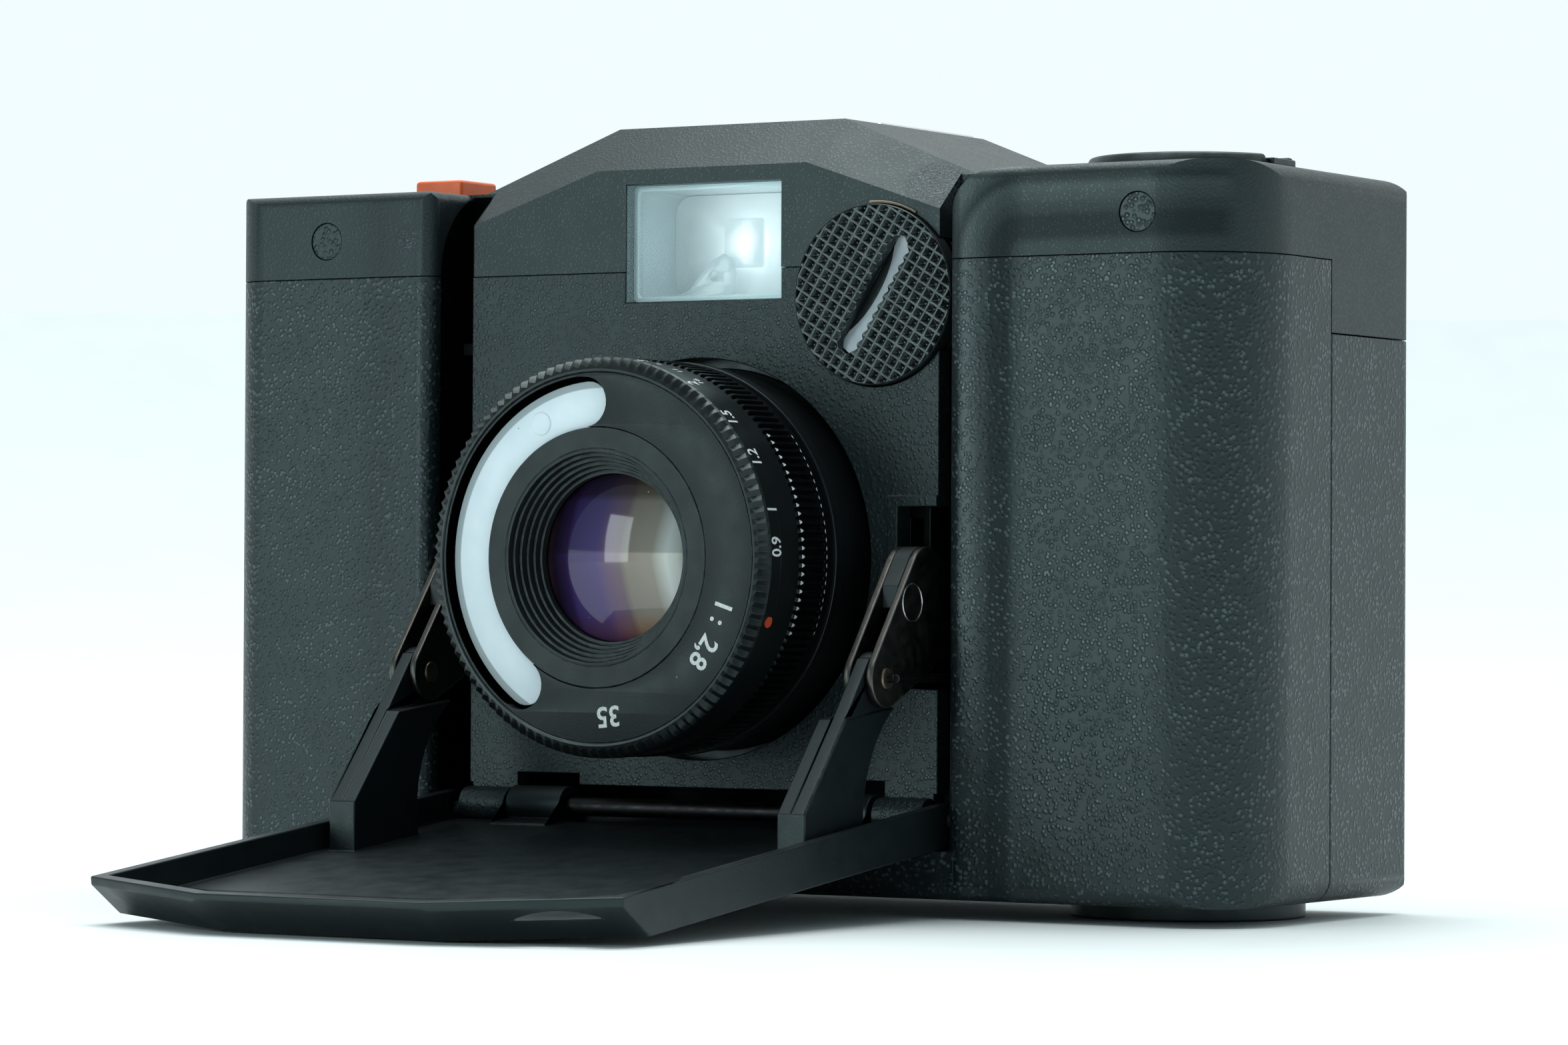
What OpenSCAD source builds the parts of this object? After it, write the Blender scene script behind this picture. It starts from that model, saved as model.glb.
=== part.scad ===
// Compact folding viewfinder camera for 35 mm film, with a drop-down front door.
// Body coordinates: x = 0 mid width, y = 0 at the wing fronts with +y to the back, z = 0 at the underside.

/* [Casing] */
// Width across both wings
body_w = 100; // [99.6:0.2:100.4]
// Depth from the wing fronts to the back
body_d = 31; // [31:0.1:31.4]
// Height of the wings above the underside
body_h = 59.2; // [59.2:0.1:59.6]
// Casing wall thickness
wall = 1.4; // [1.2:0.1:1.4]
// Height of the split between top cover and front shell
split_z = 51.85; // [51.5:0.05:52]
// Depth of the split between front shell and back cover
split_y = 15.5; // [15.3:0.1:15.6]
// Height of the upper edge of the back cover
back_top_z = 46; // [45.5:0.5:46.5]
// Radius of the right wing's outer front corner, seen from above
corner_r = 8.5; // [8:0.1:8.6]
// Radius of the left wing's outer front corner, seen from above
left_corner_r = 4.2; // [4:0.1:4.4]
// Height of the two discs that the camera stands on
foot_h = 1.5; // [1.4:0.1:1.6]

/* [Front] */
// Sideways place of the lens, door and hump axis
centre_x = -2.5; // [-2.6:0.1:-2.4]
// Half width of the front panel
panel_half = 23.2; // [23.1:0.1:23.2]
// Half width of the gap between the wings
gap_half = 25.5; // [25.4:0.1:25.6]
// Depth of the front panel's face behind the wing fronts
panel_y = 3; // [2.9:0.1:3.1]
// Height of the hump's flat top
hump_top = 64.4; // [64.4:0.1:65]

/* [Door] */
// Half width of the door
door_half = 25.05; // [24.9:0.05:25.1]
// Length of the door from its hinge axis to its tip
door_len = 53.8; // [53.6:0.1:54]
// Length of the door's straight sides from the hinge axis
door_side = 48.4; // [48:0.1:48.6]
// Thickness of the door's wall
door_wall = 1.2; // [1.1:0.1:1.2]
// Depth of the hinge axis behind the wing fronts
hinge_y = 2.3; // [2.3:0.05:2.35]
// Height of the hinge axis
hinge_z = 6.65; // [6.6:0.05:6.7]
// Gap under the open door's lowest edge
door_float = 0.1; // [0.05:0.05:0.2]

/* [Lens] */
// Height of the lens axis
lens_z = 27.6; // [27.4:0.1:27.8]
// Distance of the lens front ahead of the wing fronts
lens_out = 12.6; // [12.4:0.1:12.8]
// Outer radius of the lens rings
ring_r = 16.35; // [16.2:0.05:16.5]
// Travel of the lens as the door closes
lens_travel = 17; // [16.8:0.1:17]
// Running clearance of turning rings and sliding rods
fit = 0.05; // [0.03:0.01:0.08]

/* [Controls] */
// Sideways place of the film cassette, rewind knob and lock disc
cassette_x = 36.4; // [36.2:0.1:36.4]
// Depth of the film cassette's axis
cassette_y = 17; // [16.8:0.1:17]
// Radius of the discs under the body
disc_r = 9.6; // [9.4:0.1:9.7]
// Radius of the tripod thread
tripod_r = 2.6; // [2.5:0.1:3.1]
// Depth of the tripod thread
tripod_depth = 4.5; // [4:0.1:4.5]
// Height of the release button's top
release_top = 61.1; // [60.9:0.1:61.3]

/* [Film] */
// Width of the picture on the film
frame_w = 36; // [35.8:0.1:36.2]
// Height of the picture on the film
frame_h = 24; // [23.8:0.1:24.2]
// Depth of the film plane
film_y = 27.3; // [27.3:0.1:27.4]

/* [Hidden] */
$fn = 96;
over = 0.2;
big = 200;
door_low = foot_h - door_float;
tip_bevel = 3.3;
tip_bevel_n = 3;
rim_n = 1.2;
low_s = door_len - tip_bevel;
low_r = norm([low_s, hinge_y]);
open_angle = 90 + asin((hinge_z + door_low) / low_r) - atan2(hinge_y, low_s);
front_y = hinge_y + rim_n * cos(open_angle) - door_len * sin(open_angle);
rear_y = body_d + 0.8;
home_y = -(front_y + rear_y) / 2;
gap_left = centre_x - gap_half;
gap_right = centre_x + gap_half;
side_wall = 1;
hollow_r = corner_r - side_wall;
left_hollow_r = left_corner_r - side_wall;
inner_half = body_w / 2 - side_wall;
deck_top = body_h - 1.5;
back_in = body_d - wall;
chassis_low = 3;
chassis_high = 47.9;
chassis_roof_z = 45.2;
gate_y = 25.6;
shoe_half = 10.3;
shoe_y = 15.3;
shoe_floor = 61.4;
battery_x = 14.7;
battery_z = 49.3;
pin_n = 12.19;
pin_s = 6.75;
lever_x = -42.5;
lever_y = 19.5;
spool_x = -39;
spool_y = 14.5;
sprocket_x = -27.5;
sprocket_y = 21;
sprocket_r = 5.9;
rod_dx = 16.8;
rod_dz = 15.4;
link_in = 21;
link_out = 23.7;
plate_t = 0.6;
barrel_r = 15.05;
neck_r = 14.1;
black = [0.08, 0.085, 0.09];
dark = [0.14, 0.15, 0.16];
steel = [0.35, 0.34, 0.32];
bright = [0.78, 0.8, 0.82];
brass = [0.7, 0.55, 0.3];
grey = [0.72, 0.76, 0.78];
orange = [0.95, 0.3, 0.08];
clear = [0.7, 0.85, 0.9, 0.5];

// Puts a sub-part from body coordinates into the part's own frame.
module home() { translate([0, home_y, foot_h]) children(); }

// A box between two corners.
module block(low, high) { translate(low) cube(high - low); }

// Cylinders along the three axes, each between two places on its axis.
module x_rod(x0, x1, y, z, r) { translate([x0, y, z]) rotate([0, 90, 0]) cylinder(r = r, h = x1 - x0); }
module y_rod(x, y0, y1, z, r) { translate([x, y0, z]) rotate([-90, 0, 0]) cylinder(r = r, h = y1 - y0); }
module z_rod(x, y, z0, z1, r) { translate([x, y, z0]) cylinder(r = r, h = z1 - z0); }

// A rectangle whose corner radii run from the lower left, anticlockwise.
module round_rect(low, high, radii) {
    corners = [[low.x, low.y, 1, 1], [high.x, low.y, -1, 1], [high.x, high.y, -1, -1], [low.x, high.y, 1, -1]];
    difference() {
        translate(low) square(high - low);
        for (i = [0:3]) if (radii[i] > 0)
            translate([corners[i][0], corners[i][1]]) square(2 * radii[i], center = true);
    }
    for (i = [0:3]) if (radii[i] > 0)
        translate([corners[i][0] + corners[i][2] * radii[i], corners[i][1] + corners[i][3] * radii[i]])
            circle(r = radii[i]);
}

// Extrusions of a plan (x, y), a front view (x, z) and a side view (y, z).
module plan(z0, z1) { translate([0, 0, z0]) linear_extrude(z1 - z0) children(); }
module front(y0, y1) { translate([0, y1, 0]) rotate([90, 0, 0]) linear_extrude(y1 - y0) children(); }
module side(x0, x1) { translate([x0, 0, 0]) rotate([90, 0, 90]) linear_extrude(x1 - x0) children(); }

// Everything beyond a plane, as a large cube that rests on it.
module beyond(point, normal) {
    translate(point) rotate([0, acos(normal.z / norm(normal)), atan2(normal.y, normal.x)])
        translate([-big / 2, -big / 2, 0]) cube(big);
}

// Copies a shape drawn for the right-hand side to the left of the centre line.
module other_side() { translate([2 * centre_x, 0, 0]) mirror([1, 0, 0]) children(); }
module both_sides() { children(); other_side() children(); }

// Lens parts are drawn about their own axis: +z runs to the back, from the wing fronts.
module on_axis() { translate([centre_x, 0, lens_z]) rotate([-90, 0, 0]) children(); }
module tube(r_out, r_in, y0, y1) {
    difference() {
        translate([0, 0, y0]) cylinder(r = r_out, h = y1 - y0);
        if (r_in > 0) translate([0, 0, y0 - over]) cylinder(r = r_in, h = y1 - y0 + 2 * over);
    }
}

// ---- casing ----

// The whole casing without its hump: the common part of three rounded outlines.
module casing_form() {
    intersection() {
        plan(-1, 70) round_rect([-body_w / 2, 0], [body_w / 2, body_d], [left_corner_r, corner_r, 2, 2]);
        front(-1, 40) round_rect([-body_w / 2, 0], [body_w / 2, body_h], [2, 2, 2, 2]);
        side(-60, 60) round_rect([0, 0], [body_d, body_h], [1.6, 3, 3, 1.1]);
    }
}

// The two wings as upright bars with rounded front edges and inner top corners.
module wing_bars() {
    left_r = 1;
    right_r = 5;
    intersection() {
        plan(-1, 70) {
            round_rect([-body_w / 2, 0], [gap_left, body_d], [left_corner_r, 1.5, 0, 2]);
            round_rect([gap_right, 0], [body_w / 2, body_d], [1.5, corner_r, 2, 0]);
        }
        front(-1, 40) {
            round_rect([-body_w / 2 - 1, -1], [gap_left, body_h], [0, 0, left_r, 0]);
            round_rect([gap_right, -1], [body_w / 2 + 1, body_h], [0, 0, 0, right_r]);
        }
    }
}

module front_shell() {
    rib = 1.2;
    rib_end = 8;
    sill_top = 4;
    sill_end = 4.6;
    home() color(black) difference() {
        intersection() {
            casing_form();
            union() {
                wing_bars();
                block([gap_left - 1, 0, 0], [gap_right + 1, sill_end, sill_top]);
                block([gap_left - 1, 0, 0], [gap_right + 1, split_y, wall]);
            }
            block([-60, -1, -1], [60, split_y, split_z]);
        }
        plan(wall, 60) {
            round_rect([-inner_half, wall], [gap_left - rib, 20], [left_hollow_r, 0, 0, 0]);
            round_rect([gap_right + rib, wall], [inner_half, 20], [0, hollow_r, 0, 0]);
        }
        block([gap_left - 2, rib_end, wall], [gap_right + 2, 20, 60]);
        z_rod(cassette_x, cassette_y, -1, wall + over, disc_r + 1.15);
        z_rod(-cassette_x, cassette_y, -1, wall + over, 3.3);
        z_rod(-22, 11, -1, wall + over, 1.9);
    }
}

module front_panel() {
    back = panel_y + 1.8;
    bottom = 8.45;
    notch_in = 19.5;
    home() color(black) difference() {
        union() {
            block([centre_x - panel_half, panel_y, bottom], [centre_x + panel_half, back, split_z - 0.05]);
            both_sides() {
                x_rod(centre_x + 18.2, centre_x + 22.9, hinge_y, hinge_z, 1.5);
                block([centre_x + 18.2, panel_y, hinge_z + 0.6], [centre_x + 22.9, back, bottom + 1]);
                block([centre_x + notch_in - 1, panel_y - 0.3, 24], [centre_x + notch_in, back, 32.8]);
                block([centre_x + notch_in - 1, panel_y - 0.3, 31.9], [centre_x + panel_half, back, 32.8]);
            }
        }
        y_rod(centre_x, 0, 10, lens_z, ring_r + 0.45);
        both_sides() {
            block([centre_x + notch_in, 0, 17], [centre_x + 30, 10, 31.9]);
            block([centre_x + 11.9, 0, 0], [centre_x + 18.2, 10, 9.4]);
        }
        x_rod(centre_x - 30, centre_x + 30, hinge_y, hinge_z, 0.8);
        y_rod(battery_x, 0, 10, battery_z, 7.55);
        finder_opening();
    }
}

module finder_opening() { block([-9.95, 0, 49.2], [5.5, 4.9, body_h]); }

// The hump over the finder, with its bevelled front.
module hump_form() {
    ridge_y = 7.8;
    edge = [[10.4, panel_y, 60.45], [23.2, panel_y, 56.2], [11.25, ridge_y, hump_top]];
    slope = cross(edge[1] - edge[0], edge[2] - edge[0]);
    translate([centre_x, 0, 0]) difference() {
        front(panel_y, body_d)
            polygon([[-24.6, split_z], [24.6, split_z], [24.6, body_h], [11.25, hump_top],
                [-11.25, hump_top], [-24.6, body_h]]);
        beyond(edge[0], [0, panel_y - ridge_y + 0.85, ridge_y - panel_y]);
        beyond(edge[0], slope);
        mirror([1, 0, 0]) beyond(edge[0], slope);
        for (s = [-1, 1]) translate([s * (panel_half + 2), 0, 0]) cube([4, 13, big], center = true);
    }
}

module top_cover() {
    deck_y = 6.5;
    home() color(black) difference() {
        union() {
            difference() {
                union() {
                    intersection() {
                        casing_form();
                        union() {
                            wing_bars();
                            block([gap_left - 5, deck_y, 0], [gap_right + 5, body_d, body_h]);
                        }
                        union() {
                            block([-60, -1, split_z + 0.05], [60, 40, 80]);
                            block([-60, split_y + 0.05, back_top_z], [60, 40, 80]);
                        }
                    }
                    hump_form();
                }
                cover_hollow();
            }
            block([-32.5, 28.2, 49.4], [-14.5, back_in + 0.1, deck_top + 0.1]);
        }
        finder_opening();
        y_rod(battery_x, 0, 10, battery_z, 7.55);
        block([-11, panel_y + 1.85, 48.2], [6.5, 29.1, 60.2]);
        block([-8.5, 28, 49.4], [4.1, 40, 59]);
        block([-49.2, 26, 53.2], [-17.5, 40, 56]);
        block([-31.5, 29.9, 50.4], [-15.5, 40, 58.2]);
        block([-38.45, 11.85, 50], [-33.15, 17.65, 70]);
        z_rod(cassette_x, cassette_y, 50, 70, 2.5 + fit);
        z_rod(-38, 22, 50, 70, 1.8);
        block([centre_x - shoe_half - 0.1, shoe_y - 0.1, shoe_floor], [centre_x + shoe_half + 0.1, 40, 70]);
        y_rod(15.5, 28, 40, 52.5, 1.6 + fit);
        for (x = [-39.1, 40.5]) y_rod(x, -1, 0.6, 55.1, 1.65);
    }
}

// The space inside the top cover.
module cover_hollow() {
    rib = 1.2;
    low = back_top_z - 1;
    plan(low, deck_top) {
        round_rect([-inner_half, wall], [gap_left - rib, back_in], [left_hollow_r, 0, 0, 1]);
        round_rect([gap_right + rib, wall], [inner_half, back_in], [0, hollow_r, 1, 0]);
        translate([-inner_half, 7.9]) square([2 * inner_half, back_in - 8.9]);
        translate([centre_x - 22, panel_y + 1.8]) square([44, back_in - panel_y - 1.8]);
    }
    translate([centre_x, 0, 0]) front(8, back_in)
        polygon([[-23, deck_top - 0.1], [23, deck_top - 0.1], [16.6, 60.2], [-16.6, 60.2]]);
}

module back_cover() {
    home() color(black) difference() {
        union() {
            intersection() {
                casing_form();
                block([-60, split_y + 0.1, -1], [60, 40, back_top_z - 0.1]);
            }
            z_rod(cassette_x, cassette_y, 0, wall, disc_r + 1);
        }
        plan(wall, 60) round_rect([-inner_half, -20], [inner_half, back_in], [0, 0, 1, 1]);
        z_rod(-cassette_x, cassette_y, -1, wall + over, disc_r + 0.3);
        z_rod(cassette_x, cassette_y, -1, wall + over, 4.5 + fit);
    }
}

// The frame between front and back: floor, spool wall and cassette wall.
module chassis() {
    home() color(dark) difference() {
        union() {
            block([-30, 8.2, chassis_low - 1], [-29, gate_y - 0.02, chassis_high]);
            intersection() {
                z_rod(cassette_x, cassette_y, chassis_low - 1, chassis_high, 13.4);
                block([20, 4, chassis_low - 1], [27.6, gate_y - 0.02, chassis_high]);
            }
            level(chassis_low - 1, -30, 27.6, gap_right - 0.1);
            z_rod(-cassette_x, cassette_y, 1.6, chassis_low, disc_r + 0.6);
        }
        z_rod(cassette_x, cassette_y, 0, 60, 12.6);
        sprocket_room();
        z_rod(-cassette_x, cassette_y, 0, 4, 3 + fit);
        z_rod(-22, 11, 1, 5, 2.6);
    }
}

// The frame's ceiling, with the sprocket's bearing.
module chassis_roof() {
    room = 6.9;
    home() color(dark) difference() {
        level(chassis_roof_z, -28.95, room, room);
        sprocket_room();
        z_rod(sprocket_x, sprocket_y, 44, 47, 1.5 + fit);
    }
}

// A floor or ceiling of the frame, which reaches forwards between the wings.
module level(z, left, right, front_right) {
    block([left, 8.2, z], [right, gate_y - 0.02, z + 1]);
    block([gap_left + 0.1, panel_y + 1.8, z], [front_right, 10, z + 1]);
}

module sprocket_room() { block([-35.2, 13.5, 41.4], [-19.8, 28.6, 44.8]); }

// The plate that the film slides on, with its picture opening and four rails.
module film_gate() {
    link_room = [20.7, 24];
    home() color(dark) difference() {
        union() {
            block([-30, gate_y, chassis_low - 1], [27.6, 27, chassis_high]);
            for (dz = [-17.6, -13.4, 13.4, 17.6])
                block([-21, 26.8, lens_z + dz - 0.5], [16.5, film_y, lens_z + dz + 0.5]);
        }
        block([centre_x - frame_w / 2, 20, lens_z - frame_h / 2], [centre_x + frame_w / 2, 30, lens_z + frame_h / 2]);
        sprocket_room();
        both_sides() block([centre_x + link_room[0], 20, 20], [centre_x + link_room[1], gate_y + 0.9, 26]);
    }
}

module screw_covers() {
    home() color(dark) for (x = [-39.1, 40.5]) y_rod(x, 0.05, 0.6, 55.1, 1.6);
}

// ---- door ----

// The door's outline against its hinge axis, closed, and everything inside it.
// in_by moves every face inwards; the shape is open towards the lens.
module door_form(in_by) {
    tip_half = 10.5;
    side_edge = [door_half - tip_half, door_side - door_len];
    side_n = [-side_edge.y, side_edge.x] / norm(side_edge);
    intersection() {
        translate([centre_x, hinge_y, hinge_z]) difference() {
            front(-hinge_y + in_by, rim_n + (in_by > 0 ? 1 : 0))
                polygon([[-door_half + in_by, in_by], [door_half - in_by, in_by],
                    [door_half - in_by, door_side - in_by * 0.7], [tip_half - in_by * 0.3, door_len - in_by],
                    [-tip_half + in_by * 0.3, door_len - in_by], [-door_half + in_by, door_side - in_by * 0.7]]);
            beyond([0, -hinge_y, low_s - in_by * 1.4], [0, -tip_bevel, tip_bevel_n]);
            for (s = [-1, 1]) beyond([s * tip_half, -hinge_y, low_s - in_by * 1.4],
                [s * side_n.x * tip_bevel_n, -tip_bevel, side_n.y * tip_bevel_n]);
        }
    }
}

// Turns a shape drawn on the closed door to where the open door carries it.
module opened() {
    translate([0, hinge_y, hinge_z]) rotate([open_angle, 0, 0]) translate([0, -hinge_y, -hinge_z]) children();
}

// The arm on the door that the link hangs on, drawn on the right with the door closed.
module door_arm() {
    thick = [20.5, 23.1];
    thin = [21.75, 22.95];
    step_n = 9.6;
    translate([0, hinge_y, hinge_z]) difference() {
        union() {
            side(centre_x + thin[0], centre_x + thin[1]) {
                polygon([[-1.2, 9], [-1.2, 19.9], [3, 19.4], [9.7, 12.3], [14, 8.1], [11.6, 4.7]]);
                translate([pin_n, pin_s]) circle(r = 2.1);
            }
            side(centre_x + thick[0], centre_x + thick[1])
                polygon([[-1.2, 9], [-1.2, 19.9], [3, 19.4], [step_n, 12.4], [step_n, 4]]);
        }
        x_rod(0, 40, 0, 0, 10.7);
        x_rod(0, 40, pin_n, pin_s, 0.9 + fit);
    }
}

module door() {
    home() color(black) opened() difference() {
        union() {
            difference() {
                union() {
                    door_form(0);
                    intersection() {
                        x_rod(centre_x - door_half, centre_x + door_half, hinge_y, hinge_z, hinge_y);
                        block([-60, 0, 0], [60, hinge_y, hinge_z]);
                    }
                }
                door_form(door_wall);
                x_rod(centre_x - 24, centre_x + 24, hinge_y, hinge_z, 1.7);
                block([centre_x - 23.85, hinge_y, hinge_z - 3], [centre_x + 23.85, hinge_y + 5, hinge_z + 3]);
            }
            both_sides() {
                x_rod(centre_x + 12.3, centre_x + 17.9, hinge_y, hinge_z, 1.7);
                block([centre_x + 12.3, hinge_y - 1.6, hinge_z], [centre_x + 17.9, hinge_y - 0.9, hinge_z + 4]);
                door_arm();
            }
        }
        x_rod(-40, 40, hinge_y, hinge_z, 0.8 + fit);
        y_rod(battery_x, 1.8, 4, battery_z, 7.75);
    }
}

module hinge_shaft() {
    home() color(steel) x_rod(centre_x - 22.9, centre_x + 22.9, hinge_y, hinge_z, 0.8);
}

// ---- links between door and lens, drawn on the right ----

link_p = [hinge_y + pin_n * cos(open_angle) - pin_s * sin(open_angle),
    hinge_z + pin_n * sin(open_angle) + pin_s * cos(open_angle)];
link_q = [6.5, 23.4];
link_t = [0.4, 26.2];

module link_outline() {
    hull() {
        translate(link_p) circle(r = 2.4, $fn = 32);
        translate(link_t) circle(r = 2.4, $fn = 32);
        translate(link_q) circle(r = 2.2, $fn = 32);
    }
}

module link_plates() {
    color(steel) difference() {
        for (x = [link_in, link_out - plate_t]) side(centre_x + x, centre_x + x + plate_t) link_outline();
        x_rod(0, 40, link_p.x, link_p.y, 0.9);
        x_rod(0, 40, link_q.x, link_q.y, 0.9);
    }
}

// The filler riveted between the plates.
module link_block() {
    color(dark) difference() {
        side(centre_x + link_in + plate_t, centre_x + link_out - plate_t) intersection() {
            link_outline();
            translate([-3.2, 23.6]) square([14, 8]);
        }
        x_rod(0, 40, link_q.x, link_q.y, 0.9);
    }
}

module link_pins() {
    color(brass) {
        x_rod(centre_x + link_in - 0.1, centre_x + link_out + 0.1, link_p.x, link_p.y, 0.9);
        x_rod(centre_x + link_in - 0.1, centre_x + link_out + 0.1, link_q.x, link_q.y, 0.9);
    }
}

module pull_wire() {
    wire_r = 0.35;
    color(steel) {
        y_rod(centre_x + 24.45, link_p.x, 2.6, link_p.y, wire_r);
        x_rod(centre_x + link_out + 0.1, centre_x + 24.45, link_p.x, link_p.y, wire_r);
    }
}

module right_link_plates() { home() link_plates(); }
module left_link_plates() { home() other_side() link_plates(); }
module right_link_block() { home() link_block(); }
module left_link_block() { home() other_side() link_block(); }
module right_link_pins() { home() link_pins(); }
module left_link_pins() { home() other_side() link_pins(); }
module right_pull_wire() { home() pull_wire(); }
module left_pull_wire() { home() other_side() pull_wire(); }

// ---- lens ----

band_y = -lens_out + 2.6;
aperture_y = band_y + 2.85;
rim_y = aperture_y + 5.5;
flange_y = 6.4;
flange_end = 8;
rod_places = [[rod_dx, -rod_dz], [-rod_dx, rod_dz]];

module guide_rods() {
    home() color(bright) for (p = rod_places)
        y_rod(centre_x + p.x, panel_y + 1.8, 25.6, lens_z + p.y, 0.8);
}

module lens_carriage() {
    flange_r = 17.3;
    home() {
        color(dark) difference() {
            union() {
                on_axis() tube(ring_r, 0, rim_y, rim_y + 1.3);
                on_axis() tube(ring_r - 0.35, 0, rim_y, flange_end);
                on_axis() tube(flange_r, 0, flange_y, flange_end);
                for (p = rod_places) y_rod(centre_x + p.x, flange_y - 1.3, flange_end, lens_z + p.y, 1.6);
                for (p = rod_places) y_rod(centre_x + 0.85 * p.x, flange_y, flange_end, lens_z + 0.85 * p.y, 3);
                both_sides() block([centre_x + 17, flange_y, 20], [centre_x + 20.5, flange_end, 32]);
            }
            on_axis() translate([0, 0, rim_y - over]) cylinder(r = neck_r + 0.03, h = 20);
            for (p = rod_places) y_rod(centre_x + p.x, 0, 12, lens_z + p.y, 0.8 + fit);
            both_sides() block([centre_x + 18.6, 0, 21], [centre_x + 19.8, 12, 31]);
        }
    }
}

// The slot for the light meter as an arc band, measured anticlockwise as seen from the front.
module meter_arc(r0, r1, a0 = 95, a1 = 235) {
    mid = (r0 + r1) / 2;
    intersection() {
        difference() { circle(r = r1); circle(r = r0); }
        polygon([[0, 0], for (i = [0:4]) 30 * [cos(a0 + (a1 - a0) * i / 4), -sin(a0 + (a1 - a0) * i / 4)]]);
    }
    for (a = [a0, a1]) translate(mid * [cos(a), -sin(a)]) circle(r = (r1 - r0) / 2);
}

module lens_barrel() {
    home() color(dark) on_axis() difference() {
        union() {
            tube(barrel_r, 0, -lens_out + 1, band_y);
            tube(ring_r - 0.15, 0, band_y + 0.05, aperture_y);
            tube(barrel_r, 0, band_y - over, band_y + over);
            tube(neck_r, 0, band_y, 5);
        }
        tube(8.9, 0, -20, 0);
        tube(12.9, 0, -lens_out + 4.8, 6);
        translate([0, 0, -20]) linear_extrude(20 - lens_out + 4) meter_arc(10.6, 14.5);
    }
}

module focus_ring() {
    home() color(black) on_axis() difference() {
        union() {
            tube(ring_r, 0, -lens_out + 0.7, band_y - 0.05);
            translate([0, 0, -lens_out]) cylinder(r1 = ring_r - 0.5, r2 = ring_r, h = 0.7);
        }
        tube(barrel_r + fit, 0, -20, 5);
    }
}

module aperture_ring() {
    home() color(black) on_axis() tube(ring_r, neck_r + fit, aperture_y + 0.05, rim_y - 0.05);
}

module face_plate() {
    home() color(dark) on_axis() difference() {
        tube(barrel_r, 8.9, -lens_out + 0.1, -lens_out + 1);
        translate([0, 0, -20]) linear_extrude(30) meter_arc(10.6, 14.5);
    }
}

module meter_window() {
    home() color(grey) on_axis() translate([0, 0, -lens_out + 3.4]) linear_extrude(0.6) meter_arc(10.65, 14.45);
}

module baffle_ring() {
    front_y = -lens_out + 0.1;
    home() color(dark) on_axis() difference() {
        tube(8.9, 0, front_y, front_y + 4.5);
        tube(6.9, 0, -20, 5);
        for (i = [0:2]) tube(8.35 - 0.5 * i, 0, -20, front_y + 0.6 * (i + 1));
        tube(7.6, 0, front_y + 2.6, 5);
    }
}

module front_lens() {
    edge_y = -lens_out + 2.7;
    bulge = 1.1;
    cap_r = 6.85;
    sphere_r = (cap_r * cap_r + bulge * bulge) / (2 * bulge);
    home() color(clear) on_axis() {
        tube(7.6, 0, edge_y, edge_y + 1.6);
        intersection() {
            translate([0, 0, edge_y - bulge + sphere_r]) sphere(r = sphere_r);
            tube(cap_r, 0, edge_y - 2 * bulge, edge_y + 0.1);
        }
    }
}

module aperture_plate() {
    home() color(black) on_axis() difference() {
        tube(12.9, 0, -7.2, -6.8);
        cube([7.6, 7.6, 30], center = true);
    }
}

// One of the two shutter blades, hung above the opening; side is 1 or -1.
module shutter_blade(side_sign, y0) {
    on_axis() difference() {
        union() {
            intersection() {
                tube(8, 0, y0, y0 + 0.2);
                translate([side_sign * 4 - 4.4, -10, y0 - 1]) cube([8.8, 20, 2]);
            }
            translate([side_sign * 3 - 2, -10.5, y0]) cube([4, 5, 0.2]);
        }
        translate([side_sign * 3, -9.3, y0 - 1]) cylinder(r = 0.6, h = 2);
    }
}
module left_shutter_blade() { home() color(steel) shutter_blade(-1, -6.4); }
module right_shutter_blade() { home() color(steel) shutter_blade(1, -6.05); }

module rear_lens_cell() {
    home() color(dark) on_axis() {
        difference() {
            tube(12.9, 6.5, -5.4, 4.6);
            tube(10, 0, -3, 6);
        }
        for (s = [-1, 1]) translate([3 * s, -9.3, -6.8]) cylinder(r = 0.55, h = 1.5);
    }
}

module rear_lens() {
    home() color(clear) on_axis() intersection() {
        tube(6.5, 0, -5, -2.2);
        translate([0, 0, -22]) sphere(r = 19.9);
    }
}

// ---- finder ----

module finder_window() { home() color(clear) block([-9.9, panel_y + 0.05, 49.25], [5.45, panel_y + 1, 59.15]); }

module finder_housing() {
    home() color(dark) difference() {
        block([-10.9, panel_y + 1.9, 48.3], [6.4, 29, 60.1]);
        block([-9.9, 0, 49.2], [5.4, 20, 59.2]);
        block([-7.6, 15, 49.9], [3.2, 35, 58.5]);
    }
}

module finder_lens() {
    home() color(clear) difference() {
        block([-9.85, 9.5, 49.25], [5.35, 13, 59.15]);
        translate([centre_x + 0.3, -3, 54.2]) sphere(r = 13.8);
    }
}

module finder_scale() {
    home() color(grey) difference() {
        block([-9.85, 16.6, 49.25], [-1, 17, 52.6]);
        for (i = [0:5]) block([-9 + 1.3 * i, 16, 51.4], [-8.4 + 1.3 * i, 18, 52.7]);
    }
}

module eyepiece_frame() {
    home() color(black) difference() {
        union() {
            block([-8.45, 29.1, 49.45], [4.05, body_d, 58.95]);
            block([-9.7, body_d, 48.6], [5.3, rear_y, 59.1]);
        }
        block([-7.6, 29, 50.2], [3.2, 40, 58.2]);
    }
}

module eyepiece_lens() { home() color(clear) block([-7.6, 29.3, 50.2], [3.2, 31.1, 58.2]); }

// ---- top ----

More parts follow.
